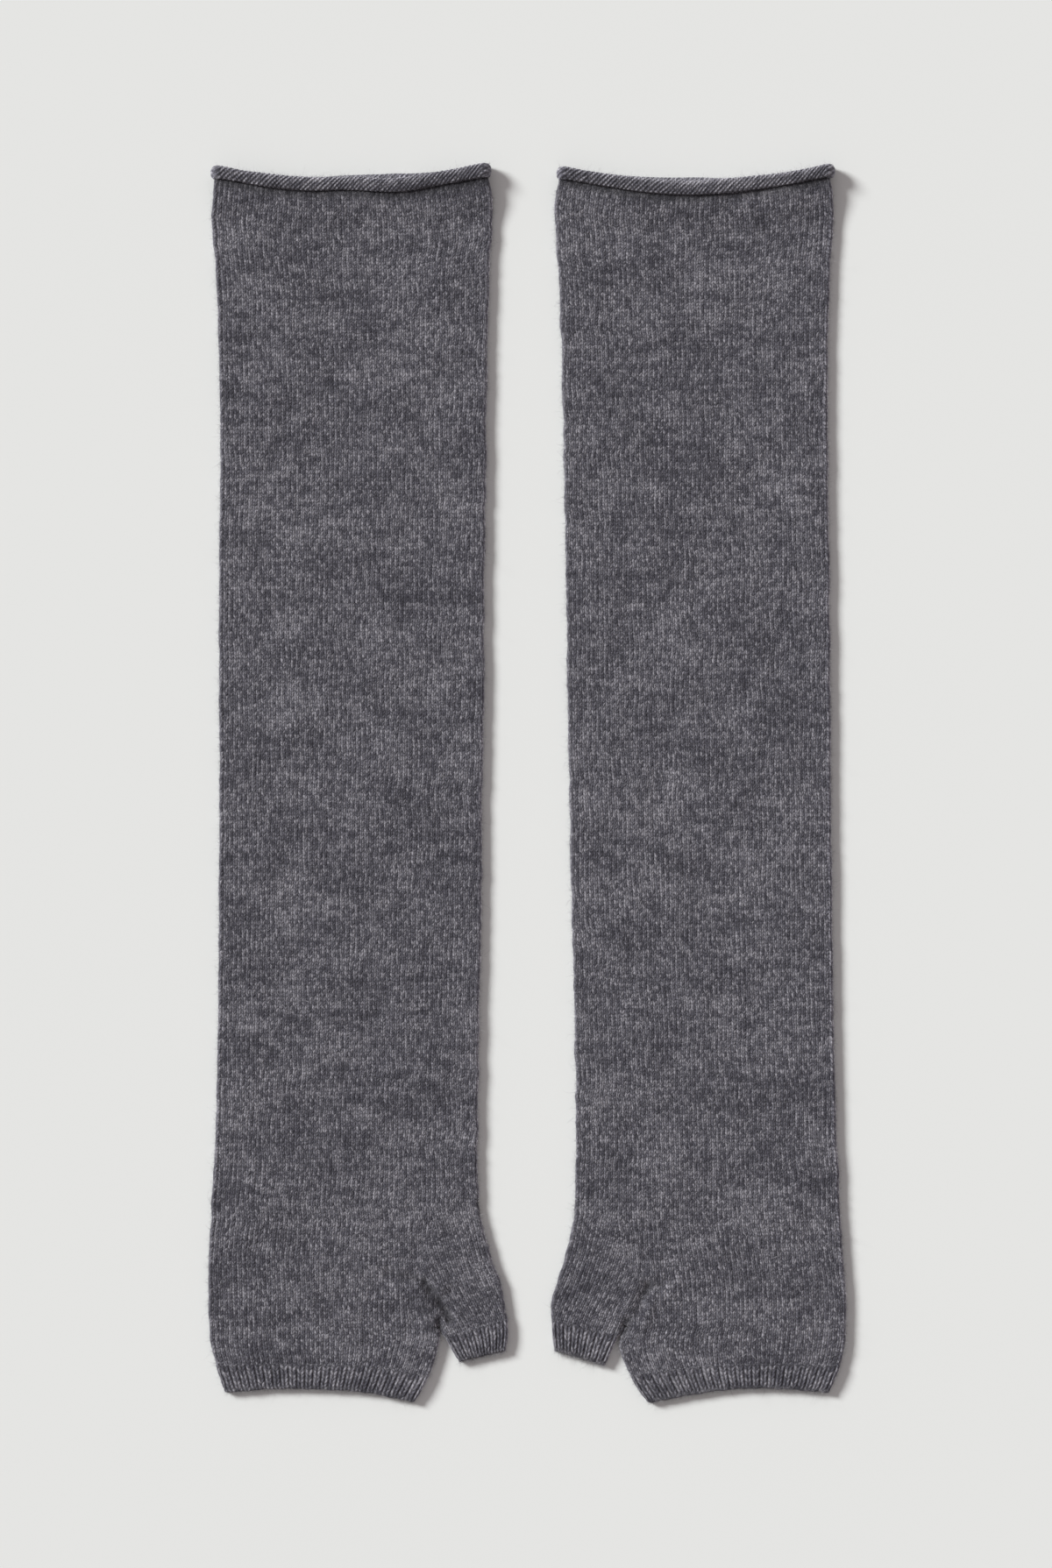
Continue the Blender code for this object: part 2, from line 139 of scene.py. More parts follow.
@dataclass(frozen=True)
class Cloth:
    """Sizes of the knitting that all pieces share, in millimetres."""

    wall: float = 1.35
    half_gap: float = 0.2
    course: float = 1.56
    arm_wales: int = 56
    hand_wales: int = 48
    fold_wales: int = 3
    ridge: float = 0.24
    edge_swell: float = 0.22
    edge_swell_reach: float = 9.0
    roll_high: float = 3.7
    roll_wall: float = 1.2
    roll_ramp: float = 18.0
    # Painted shadow under the roll: how far down it reaches and how dark it is.
    roll_shade: float = 2.8
    roll_painted_shadow: float = 1.4
    # Painted light on the folds and near the outline: its strength, its reach, and how fast it grows as a
    # fold turns sideways.
    haze_and_painted_rim_light: float = 0.13
    painted_rim_light_reach: float = 3.0
    painted_rim_light_power: float = 2.4
    drift_fade: float = 12.0
    opening_fade: float = 8.0
    bow_top: float = 62.0
    gusset_top: float = 79.0
    hem_sag_reach: float = 75.0
    fuzz_range: tuple[float, float] = (6.0, 470.0)
    join_margin: float = 0.3
    inner_rise: float = 0.5

    @property
    def turn(self) -> float:
        """How far a fold turns inside the outline."""
        return self.half_gap + self.wall


CLOTH = Cloth()


def smooth(at: Array | float, knots: list[float], values: list[float]) -> Array:
    """Values on a smooth curve through knots.

    Between two knots the curve is the cubic that has their values and, at each, the slope of a parabola
    through it and its neighbours.

    Args:
        at: The places to read, held inside the knots' range.
        knots: The places of the known values, in rising or falling order.
        values: The known values.

    Returns:
        The curve's value at each place.
    """
    order = np.argsort(knots)
    place = np.asarray(knots, float)[order]
    value = np.asarray(values, float)[order]
    slope = np.gradient(value, place)
    at = np.clip(at, place[0], place[-1])
    left = np.clip(np.searchsorted(place, at) - 1, 0, len(place) - 2)
    step = place[left + 1] - place[left]
    t = (at - place[left]) / step
    return (
        value[left] * (1 + 2 * t) * (1 - t) ** 2
        + slope[left] * step * t * (1 - t) ** 2
        + value[left + 1] * t**2 * (3 - 2 * t)
        + slope[left + 1] * step * t**2 * (t - 1)
    )


def ease(share: Array | float) -> Array:
    """A smooth step: three times the square less twice the cube, held between 0 and 1."""
    share = np.clip(share, 0.0, 1.0)
    return share * share * (3.0 - 2.0 * share)


def ripple(x: Array, y: Array, size: float, seed: int, waves: int = 14) -> Array:
    """A smooth random field: plane waves of random headings, lengths and phases, added up.

    Args:
        x: Places across.
        y: Places along.
        size: Middle length of the waves.
        seed: Seed of the random draws.
        waves: How many waves are added.

    Returns:
        The field, whose values spread about one each way from zero.
    """
    random = np.random.default_rng(seed)
    heading = random.uniform(0.0, FULL_TURN, waves)
    length = size * random.uniform(0.65, 1.7, waves)
    phase = random.uniform(0.0, FULL_TURN, waves)
    total = np.zeros(np.broadcast(x, y).shape)
    for turn, long, start in zip(heading, length, phase):
        total += np.cos(FULL_TURN / long * (x * math.cos(turn) + y * math.sin(turn)) + start)
    return total * math.sqrt(2.0 / waves)


def column(rows: tuple[NamedTuple, ...], name: str) -> list[float]:
    """One named column of a table."""
    return [getattr(row, name) for row in rows]


def curve(at: Array | float, table: tuple[NamedTuple, ...], name: str, by: str = "y") -> Array:
    """One column of a table read on a smooth curve, by height or by another column."""
    return smooth(at, column(table, by), column(table, name))


def rows(kind: type, *lines: tuple[float, ...]) -> tuple:
    """Rows of a table, each with its values in the order of the kind's fields."""
    return tuple(kind(*line) for line in lines)


@dataclass(frozen=True)
class GloveShape:
    """One glove's outline and folds, from its own tables of sizes in millimetres."""

    name: str
    centre: float
    mirror: int
    sides: tuple[Section, ...]
    hand: tuple[HandSection, ...]
    thumb: tuple[ThumbSection, ...]
    hem: tuple[HemLine, ...]
    cuff: tuple[CuffLine, ...]
    creases: tuple[Crease, ...]
    gusset: tuple[GussetRow, ...]
    seed: int
    mid_length: float = 240.0

    @property
    def crotch(self) -> HandSection:
        """Where hand and thumb part."""
        return self.hand[0]

    def little_side(self, y: Array) -> Array:
        """Outline on the little finger's side, from the hem to the hand cuff."""
        return curve(y, self.sides + self.hand, "little") - 0.12 * self.scallop(y, 20)

    def thumb_side(self, y: Array) -> Array:
        """Outline on the thumb's side, down to the thumb's cuff."""
        return curve(y, self.sides, "thumb") + 0.2 * self.scallop(y, 30)

    def palm_side(self, y: Array) -> Array:
        """The hand's own outline under the thumb."""
        return curve(y, self.hand, "palm")

    def arm_pitch(self, y: Array) -> Array:
        """Width of a wale where the wales share out the arm's width."""
        return (self.thumb_side(y) - self.little_side(y)) / CLOTH.arm_wales

    def scallop(self, y: Array, draw: int) -> Array:
        """Small uneven waves of a laid edge."""
        y = np.asarray(y, float)
        still = np.zeros_like(y)
        return ripple(still, y, 15.0, self.seed + draw) + 0.5 * ripple(still, y, 5.0, self.seed + draw + 1)

    def hem_line(self, share: Array, front: Array) -> tuple[Array, Array]:
        """Height of the rolled edge's middle and its width, at shares across the front or the back."""
        ahead, behind, wide = (curve(share, self.hem, name, "share") for name in ("front", "back", "wide"))
        return np.where(front, ahead, behind), wide

    def cuff_line(self, share: Array | float, edge: str) -> Array:
        """Height of the hand cuff's start or end across the panel."""
        return curve(share, self.cuff, edge, "share")

    def join_line(self) -> tuple[Array, Array]:
        """The low and high ends of the line where arm and thumb tubes meet."""
        low = np.array([self.crotch.palm + 0.1, self.crotch.y + 0.6])
        top = CLOTH.gusset_top
        high = np.array([float(self.thumb_side(np.array(top))) - CLOTH.turn, top - 0.3])
        return low, high

    def crease_rise(self, x: Array, y: Array) -> Array:
        """Height of the creases beside the crotch.

        Each is its rise times a bell curve of the distance beside its line, and of that past its ends.
        """
        rise = np.zeros(np.broadcast(x, y).shape)
        for fold in self.creases:
            run = np.array([fold.x1 - fold.x0, fold.y1 - fold.y0])
            length = float(np.hypot(*run))
            along = ((x - fold.x0) * run[0] + (y - fold.y0) * run[1]) / length**2
            beside = ((x - fold.x0) * run[1] - (y - fold.y0) * run[0]) / length
            past = np.maximum(np.abs(along - 0.5) - 0.5, 0.0) * length
            rise += fold.rise * np.exp(-((beside / fold.width) ** 2) - (past / fold.width) ** 2)
        return rise

    def crease_painted_shade(self, x: Array, y: Array) -> Array:
        """How deep in a crease a point lies, from 0 to 1: the strength of the painted shade there."""
        return np.clip(-self.crease_rise(x, y) / 0.9, 0.0, 1.0)

    def drift(self, x: Array, y: Array) -> Array:
        """Slow swells of a laid panel, and small lumps on them, mostly above zero."""
        total = 0.3
        for draw, (high, size) in enumerate(DRIFT_WAVES):
            total = total + high * ripple(x, y, size, self.seed + 40 + draw)
        return total

    def wander(self, x: Array, y: Array, draw: int) -> Array:
        """How far rows of stitches stray from an even grid, in stitches: a wide ripple and a narrow one."""
        far = ripple(x, y, 26.0, self.seed + draw)
        near = ripple(x, y, 8.0, self.seed + draw + 1)
        return 0.11 * far + 0.045 * near

    def panel_wales(self, x: Array, y: Array) -> Array:
        """Wale number on the hand and arm, counted from the little side.

        Above the gusset the wales share out the width; beside it they keep an even distance.
        """
        top = self.gusset[0].y
        little = self.little_side(y)
        low = np.minimum(y, top)
        spread = self.arm_pitch(np.maximum(y, top))
        crotch = self.crotch
        hand = (self.palm_side(np.minimum(y, crotch.y)) - little) / CLOTH.hand_wales
        share = ease((low - crotch.y) / (top - crotch.y))
        pitch = hand * (1.0 - share) + spread * share
        return (x - little - self.pull(x, y)) / pitch + self.wander(x, y, 50)

    def pull(self, x: Array, y: Array) -> Array:
        """How far the hand's wales are drawn to the crotch: a bell curve that ends at the palm's side."""
        crotch = self.crotch
        bell = np.exp(-((x - crotch.palm + 7.0) ** 2 + (y - crotch.y - 7.0) ** 2) / (2.0 * 12.0**2))
        return 2.2 * bell * ease((crotch.palm - x) / 9.0)

    def panel_courses(self, x: Array, y: Array) -> Array:
        """Course number on the hand and arm."""
        return y / CLOTH.course + 1.6 * self.wander(x, y, 60)

    def gusset_wales(self, x: Array, y: Array) -> Array:
        """Wale number in the gusset and thumb, counted inwards from its last wale, which leans outwards."""
        top = self.gusset[0].y
        above = y > top
        spread = self.arm_pitch(np.maximum(y, top))
        pitch = np.where(above, spread, curve(y, self.gusset, "wale"))
        edge = np.where(above, self.thumb_side(y), curve(y, self.gusset, "edge"))
        return CLOTH.arm_wales - (edge - x) / pitch + self.wander(x, y, 50)

    def gusset_courses(self, x: Array, y: Array) -> Array:
        """Course number in the gusset: the height, less a tilt that grows towards the thumb."""
        tilt = curve(y, self.gusset, "tilt")
        return (y - tilt * (x - self.crotch.palm)) / CLOTH.course + 1.6 * self.wander(x, y, 60)

    def in_gusset(self, x: Array, y: Array) -> Array:
        """Whether a point lies right of the line where the gusset's wales begin."""
        return (x > curve(y, self.gusset, "x")) & (y < self.gusset[0].y)

    def painted_rim_light(self, share: Array | float) -> Array:
        """How much painted light lightens a fold: little on the side that the light comes from.

        Args:
            share: The way across, from 0 on the little side to 1 on the thumb's.

        Returns:
            The part of the full painted light that each place gets.
        """
        lit = (np.asarray(share) < 0.5) == (self.mirror > 0)
        return np.where(lit, 0.3, 1.0)

    def world(self, points: Array) -> Array:
        """Points of this glove in the pair's frame, in metres."""
        placed = points * [self.mirror, 1.0, 1.0] + [self.centre, -self.mid_length, 0.0]
        return placed * MM


LEFT = GloveShape(
    name="left",
    centre=-68.6,
    mirror=1,
    seed=1,
    sides=rows(
        Section,
        (474.5, -52.3, 53.7), (468.4, -53.2, 54.7), (462.2, -53.7, 55.1), (441.8, -52.4, 53.9),
        (407.8, -51.0, 53.0), (305.8, -51.0, 52.0), (203.8, -51.0, 50.8), (135.8, -51.6, 49.7),
        (101.8, -52.5, 49.0), (79.0, -53.6, 49.8), (67.8, -54.2, 51.5), (57.6, -54.8, 54.4),
        (47.4, -55.1, 57.8), (38.5, -55.1, 60.2), (32.1, -55.0, 60.9),
    ),
    hand=rows(
        HandSection,
        (28.5, -54.8, 34.5), (26.0, -54.6, 34.7), (20.9, -53.6, 33.8), (16.2, -52.3, 32.6),
        (10.7, -50.9, 30.6), (6.0, -49.4, 28.2), (0.3, -47.6, 25.0),
    ),
    thumb=rows(
        ThumbSection,
        (36.9, 25.0, 60.9, 32.1), (39.6, 19.9, 61.0, 26.0), (42.2, 15.5, 60.2, 19.9),
    ),
    hem=rows(
        HemLine,
        (0.0, 476.3, 476.3, 4.9), (0.17, 473.4, 473.4, 5.7), (0.33, 471.9, 472.2, 5.9),
        (0.5, 472.0, 472.8, 5.9), (0.67, 471.4, 473.5, 5.8), (0.83, 473.8, 474.1, 5.8),
        (1.0, 477.1, 477.1, 5.8),
    ),
    cuff=rows(
        CuffLine,
        (0.0, 14.5, 3.9), (0.25, 15.1, 5.3), (0.5, 14.8, 5.1), (0.75, 14.1, 3.9), (1.0, 10.7, 0.3),
    ),
    creases=rows(
        Crease,
        (14.5, 51.0, 28.4, 46.8, 1.6, -0.75), (29.0, 46.0, 30.6, 41.8, 1.4, -0.95),
        (31.5, 43.6, 34.4, 38.2, 1.4, -1.2), (36.4, 36.4, 38.5, 32.2, 1.7, -1.4),
        (34.3, 31.8, 34.9, 28.2, 1.3, -1.1), (35.5, 40.5, 38.5, 43.5, 1.4, -0.5),
        (29.5, 50.5, 37.0, 43.5, 1.8, 0.7), (18.0, 44.0, 29.0, 40.5, 2.4, 0.7),
        (27.0, 37.5, 32.0, 31.0, 2.4, 0.55),
    ),
    gusset=rows(
        GussetRow,
        (72.0, 33.8, 50.8, 1.871, 0.0), (62.0, 30.6, 53.2, 1.88, 0.08), (52.5, 27.6, 56.3, 1.92, 0.17),
        (46.4, 28.6, 58.7, 1.93, 0.23), (38.3, 35.0, 62.2, 1.84, 0.3), (30.0, 34.6, 65.6, 1.8, 0.35),
        (20.0, 34.0, 69.6, 1.8, 0.36),
    ),
)

RIGHT = GloveShape(
    name="right",
    centre=66.7,
    mirror=-1,
    seed=4,
    sides=rows(
        Section,
        (474.5, -50.6, 54.7), (468.4, -51.5, 55.6), (462.2, -51.9, 56.1), (441.8, -50.7, 54.9),
        (407.8, -49.8, 53.4), (305.8, -50.5, 51.7), (203.8, -51.2, 49.8), (135.8, -52.2, 48.5),
        (101.8, -53.2, 47.9), (79.0, -54.2, 48.3), (67.8, -54.9, 49.3), (57.6, -55.6, 52.0),
        (47.4, -56.4, 55.4), (38.5, -56.9, 57.3), (32.5, -57.0, 57.3),
    ),
    hand=rows(
        HandSection,
        (29.2, -57.0, 29.2), (26.4, -56.8, 30.6), (22.6, -56.3, 31.2), (18.0, -55.5, 30.2),
        (12.8, -53.8, 28.0), (6.6, -51.3, 24.8), (0.0, -48.4, 20.2),
    ),
    thumb=rows(
        ThumbSection,
        (31.6, 25.7, 57.3, 32.0), (34.3, 19.9, 57.0, 26.0), (36.7, 14.1, 56.4, 19.9),
    ),
    hem=rows(
        HemLine,
        (0.0, 476.9, 476.9, 5.2), (0.17, 473.6, 473.7, 5.6), (0.33, 471.7, 472.0, 5.9),
        (0.5, 470.3, 471.8, 6.0), (0.67, 471.0, 472.0, 6.0), (0.83, 473.1, 473.3, 5.5),
        (1.0, 476.0, 476.0, 4.8),
    ),
    cuff=rows(
        CuffLine,
        (0.0, 14.5, 3.9), (0.25, 15.1, 5.3), (0.5, 14.8, 5.3), (0.75, 13.4, 3.2), (1.0, 10.7, 0.0),
    ),
    creases=rows(
        Crease,
        (20.0, 45.0, 22.2, 41.0, 1.9, -0.85), (23.4, 38.0, 23.8, 34.5, 1.5, -0.4),
        (27.6, 31.8, 29.4, 27.6, 1.8, -1.0), (14.5, 45.8, 19.5, 45.2, 1.5, -0.7),
        (24.5, 47.5, 27.8, 37.0, 2.4, 0.4), (11.0, 42.0, 19.0, 38.0, 2.4, 0.6),
        (19.5, 35.5, 22.0, 29.0, 2.0, 0.5),
    ),
    gusset=rows(
        GussetRow,
        (72.0, 33.0, 48.9, 1.848, 0.0), (62.0, 31.0, 50.9, 1.86, 0.07), (52.5, 27.6, 53.9, 1.9, 0.15),
        (42.0, 21.8, 57.9, 1.9, 0.24), (36.0, 24.5, 60.3, 1.84, 0.28), (31.0, 27.9, 62.3, 1.82, 0.31),
        (20.0, 28.0, 66.7, 1.8, 0.32),
    ),
)


@dataclass
class Round:
    """The columns of a grid once round a flattened tube.

    They run across the front from the little side, over the thumb side's fold, back across the back panel and
    over the little side's fold. share is the way across, angle the direction outwards, with a quarter turn
    straight up, and past the part of the folds' wales that lies before a column.
    """

    front: int
    back: int
    fold: int
    share: Array = field(init=False)
    angle: Array = field(init=False)
    past: Array = field(init=False)
    is_front: Array = field(init=False)
    is_back: Array = field(init=False)

    def __post_init__(self) -> None:
        """Works out the columns: even steps on the panels and even turns on the folds."""
        part = np.arange(1, self.fold + 1) / (self.fold + 1)
        up = math.pi / 2
        front = np.ones(self.front)
        fold = np.ones(self.fold)
        back = np.ones(self.back)
        across = np.linspace(0, 1, self.front)
        self.share = np.concatenate([across, fold, np.linspace(1, 0, self.back), 0 * fold])
        self.angle = np.concatenate([up * front, up - math.pi * part, -up * back, -up - math.pi * part])
        self.past = np.concatenate([0 * front, part, back, 1 + part])
        step = np.arange(len(self.share))
        self.is_front = step < self.front
        self.is_back = (step >= self.front + self.fold) & (step < self.front + self.fold + self.back)

    @property
    def columns(self) -> int:
        """Number of columns."""
        return len(self.share)

    @property
    def outwards(self) -> Array:
        """Each column's part of the depth that goes sideways: a fold is fuller than a half circle."""
        return np.abs(np.cos(self.angle)) ** FOLD_FULLNESS

    @property
    def height(self) -> Array:
        """Each column's part of the depth that goes up or down."""
        rise = np.sin(self.angle)
        return np.sign(rise) * np.abs(rise) ** FOLD_FULLNESS

    @property
    def upwards(self) -> Array:
        """How far each column faces up, from 0 to 1."""
        return np.maximum(self.height, 0.0)

    @property
    def thumb_fold(self) -> slice:
        """The faces of the thumb side's fold."""
        return slice(self.front - 1, self.front + self.fold)

    def hold_ends(self, values: Array) -> Array:
        """A value a column, with that of the front's nearer end all the way over each fold."""
        ends = np.where(self.share > 0.5, values[self.front - 1], values[0])
        return np.where(self.is_front | self.is_back, values, ends)

    def place(
        self,
        little: Array,
        thumb: Array,
        little_out: Array,
        thumb_out: Array,
        depth: Array | float,
        middle: Array | float,
        sag: Array | float = 0.0,
        rise: Array | float = 0.0,
    ) -> Array:
        """Points of one face of the flattened tube.

        A point is part of the way from the little turn to the thumb turn, then out by its depth: sideways by
        a power of the cosine of its angle and up by that of the sine. The rise lifts only what faces up.

        Args:
            little: Where each row's fold turns on the little side, as rows by xy.
            thumb: The same on the thumb's side.
            little_out: Direction in which that fold bulges, as rows by xy.
            thumb_out: The same on the thumb's side.
            depth: Distance outwards from the middle of the flat inner gap.
            middle: Height of the inner gap's middle over the table.
            sag: Bow of a row along y.
            rise: Lift of the front panel.

        Returns:
            The points, as rows by columns by xyz.
        """
        share = self.share[None, :, None]
        line = little[:, None, :] * (1.0 - share) + thumb[:, None, :] * share
        bulge = np.where(share > 0.5, thumb_out[:, None, :], little_out[:, None, :])
        flat = line + bulge * (self.outwards[None, :] * depth)[..., None]
        flat[..., 1] += sag
        height = middle + self.height[None, :] * depth + rise * self.upwards[None, :]
        return np.dstack([flat[..., 0], flat[..., 1], height])

    def around(self, wales: Array, total: float) -> Array:
        """Wale numbers once round, from those of the front at each column's place.

        The front keeps its numbers, a fold adds its own wales, and the back counts down from the total.

        Args:
            wales: Wale number of the front at each column's share, as rows by columns.
            total: Wales of the front at the thumb's fold.

        Returns:
            Wale numbers that grow all the way round.
        """
        turned = 2.0 * total + CLOTH.fold_wales - wales
        first = total + CLOTH.fold_wales * self.past
        second = 2.0 * total + CLOTH.fold_wales * self.past
        folds = np.where(self.share > 0.5, first, second) + np.zeros_like(wales)
        return np.where(self.is_front, wales, np.where(self.is_back, turned, folds))


@dataclass
class Mesh:
    """Points, faces and stitch coordinates of one piece, gathered before they go into Blender."""

    name: str
    points: Array
    faces: list[Array]
    stitches: list[Array]
    sharp: Array = field(default_factory=lambda: np.zeros((0, 2), int))
    painted_shade_and_light: Array | None = None

    def build(self, shape: GloveShape, material: bpy.types.Material) -> bpy.types.Object:
        """The piece as an object at the origin, with its place in its mesh.

        Args:
            shape: The glove whose mirror and place the points take.
            material: The piece's finish.

        Returns:
            The new object.
        """
        points = shape.world(self.points)
        faces = [part[:, ::-1] if shape.mirror < 0 else part for part in self.faces]
        stitches = [part[:, ::-1] if shape.mirror < 0 else part for part in self.stitches]
        mesh = bpy.data.meshes.new(self.name)
        corners = np.concatenate([part.ravel() for part in faces])
        sizes = np.concatenate([np.full(len(part), part.shape[1]) for part in faces])
        starts = np.concatenate([[0], np.cumsum(sizes)[:-1]])
        mesh.vertices.add(len(points))
        mesh.vertices.foreach_set("co", points.astype(np.float32).ravel())
        mesh.loops.add(len(corners))
        mesh.loops.foreach_set("vertex_index", corners.astype(np.int32))
        mesh.polygons.add(len(sizes))
        mesh.polygons.foreach_set("loop_start", starts.astype(np.int32))
        mesh.polygons.foreach_set("loop_total", sizes.astype(np.int32))
        layer = mesh.uv_layers.new(name=STITCH_MAP)
        flat = np.concatenate([part.reshape(-1, 2) for part in stitches])
        layer.data.foreach_set("uv", flat.astype(np.float32).ravel())
        mesh.update(calc_edges=True)
        mesh.validate()
        mesh.shade_smooth()
        self.crease(mesh)
        # Painted shade and painted light of each point, kept as an attribute that the finish reads.
        if self.painted_shade_and_light is not None:
            depth = mesh.attributes.new(PAINTED_SHADE_AND_LIGHT, "FLOAT", "POINT")
            depth.data.foreach_set("value", self.painted_shade_and_light.astype(np.float32))
        mesh.materials.append(material)
        piece = bpy.data.objects.new(self.name, mesh)
        bpy.context.scene.collection.objects.link(piece)
        return piece

    def crease(self, mesh: bpy.types.Mesh) -> None:
        """Marks the listed edges sharp: an edge's key is its lower point times the count plus its higher."""
        if not len(self.sharp):
            return
        ends = np.empty(len(mesh.edges) * 2, dtype=np.int64)
        mesh.edges.foreach_get("vertices", ends)
        ends = np.sort(ends.reshape(-1, 2), axis=1)
        wanted = np.sort(self.sharp, axis=1)
        count = len(mesh.vertices)
        hit = np.isin(ends[:, 0] * count + ends[:, 1], wanted[:, 0] * count + wanted[:, 1])
        mark = mesh.attributes.new("sharp_edge", "BOOLEAN", "EDGE")
        mark.data.foreach_set("value", hit)


def ring_quads(index: Array) -> Array:
    """Quads between each ring of a grid and the next, wound so that they face out of the tube.

    Args:
        index: Point numbers, whose last axis closes in a ring and whose last but one runs along the tube.

    Returns:
        Four point numbers for each cell.
    """
    near = index[..., :-1, :]
    far = index[..., 1:, :]
    return np.stack([near, np.roll(near, -1, -1), np.roll(far, -1, -1), far], axis=-1)


def wall_faces(rows: int, columns: int, inner_rows: Array, kept: Array) -> tuple[Array, Array, Array, Array]:
    """Faces of a cloth wall from a fine outer grid and an inner grid with fewer rows.

    Each kept cell of a grid is a quad; the inner ones are turned round. An edge of the outer faces that no
    other outer face shares gets a rim quad across the wall's thickness.

    Args:
        rows: Rows of the outer grid.
        columns: Columns of both grids, closed in a ring.
        inner_rows: The outer rows that the inner grid has too: the ends, and every row beside an opening.
        kept: Which outer cells hold cloth, as rows less one by columns.

    Returns:
        Outer quads, inner quads, rim quads, and for each point of the inner grid its outer point.
    """
    outer_index = np.arange(rows * columns).reshape(rows, columns)
    inner_index = rows * columns + np.arange(len(inner_rows) * columns).reshape(len(inner_rows), columns)

    outer = ring_quads(outer_index)[kept]
    inner = ring_quads(inner_index)[kept[inner_rows[:-1]]][:, ::-1]
    to_inner = np.full(rows * columns, -1)
    to_inner[outer_index[inner_rows].ravel()] = inner_index.ravel()
    start = outer.ravel()
    end = np.roll(outer, -1, axis=1).ravel()
    size = rows * columns
    single = ~np.isin(start * size + end, end * size + start)
    start = start[single]
    end = end[single]
    rims = np.column_stack([end, start, to_inner[start], to_inner[end]])
    return outer, inner, rims, outer_index[inner_rows].ravel()


def knit_wall(
    name: str,
    outer: Array,
    inner: Array,
    inner_rows: Array,
    kept: Array,
    stitch_sets: list[Array],
    chosen: Array | None = None,
    crisp_from: int = 0,
    painted_shade_and_light: Array | None = None,
) -> Mesh:
    """A closed wall of knitting with its stitch coordinates.

    Args:
        name: The piece's name.
        outer: Outer points, as rows by columns by xyz.
        inner: Inner points at the inner rows.
        inner_rows: Which outer rows the inner grid follows.
        kept: Which outer cells hold cloth.
        stitch_sets: Wale and course numbers of the outer points, in one or more ways of counting.
        chosen: For each outer point, the way of counting that the faces from it take.
        crisp_from: The first row whose rim keeps a crisp edge, because another piece meets it there.
        painted_shade_and_light: Painted shade at each outer point, from 0 to 1 in creases and under the roll,
            and below zero for painted light on the folds.

    Returns:
        The gathered mesh.
    """
    rows, columns, _ = outer.shape
    *faces, under = wall_faces(rows, columns, inner_rows, kept)
    rims = faces[2]
    points = np.concatenate([outer.reshape(-1, 3), inner.reshape(-1, 3)])
    parent = np.concatenate([np.arange(rows * columns), under])
    ways = np.stack([each.reshape(-1, 2) for each in stitch_sets])
    pick = np.zeros(rows * columns, int) if chosen is None else chosen.ravel().astype(int)
    stitches = []
    for part in faces:
        corner = parent[part]
        way = pick[corner.min(axis=1)][:, None]
        uv = ways[way, corner]
        column_of = corner % columns
        wraps = (column_of.max(axis=1) == columns - 1) & (column_of.min(axis=1) == 0)
        last = ways[way, (corner // columns) * columns + columns - 1]
        behind = wraps[:, None] & (column_of == 0)
        uv = np.where(behind[..., None], last + [SEAM_STEP, 0.0], uv)
        stitches.append(uv)
    used, packed = np.unique(np.concatenate([part.ravel() for part in faces]), return_inverse=True)
    split = np.cumsum([len(part) for part in faces])[:-1]
    quads = np.split(packed.reshape(-1, 4), split)
    crisp = (rims[:, :2] // columns >= crisp_from).all(axis=1)
    painted_shade_level = np.zeros(len(parent)) if painted_shade_and_light is None else painted_shade_and_light.ravel()[parent]
    return Mesh(name, points[used], list(quads), stitches, quads[2][crisp, :2], painted_shade_level[used])


def bell(reach: Array, wide: float) -> Array:
    """A bell curve: e to the power of less the square of the reach over its width."""
    return np.exp(-((reach / wide) ** 2))


def wale_ridge(wales: Array) -> Array:
    """Depth of the furrows between wales: none at a wale's middle and one ridge height between two.

    The profile is the sine of half a turn a wale, made fuller by a root.
    """
    crown = np.abs(np.sin(math.pi * wales)) ** 0.7
    return -CLOTH.ridge * (1.0 - crown)


@dataclass
class KnitPiece:
    """One piece of knitting on a glove, which is built and dressed in the same way."""

    shape: GloveShape
    material: bpy.types.Material
    part: str = ""
    slot: Slot = Slot.JERSEY

    @property
    def node(self) -> str:
        """Name of the CAD node that the piece stands for."""
        return f"{self.shape.name}_{self.part}"

    def gather(self) -> tuple[Mesh, tuple[float, float], float]:
        """The piece's mesh, the size of its flat cut, and that cut's area, in millimetres."""
        raise NotImplementedError

    def make(self, table: bpy.types.Object) -> bpy.types.Object:
        """Args:
            table: What the glove is laid on. Not used.

        Returns:
            The piece's object.
        """
        mesh, flat, area = self.gather()
        mesh.name = f"{self.node}_knit"
        piece = mesh.build(self.shape, self.material)
        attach(piece, BODY)
        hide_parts(self.node)
        width, length = (size * MM for size in flat)
        area * MM * MM
        log.info("%s: %d faces, cut %.0f by %.0f mm", piece.name, len(piece.data.polygons), *flat)
        return piece


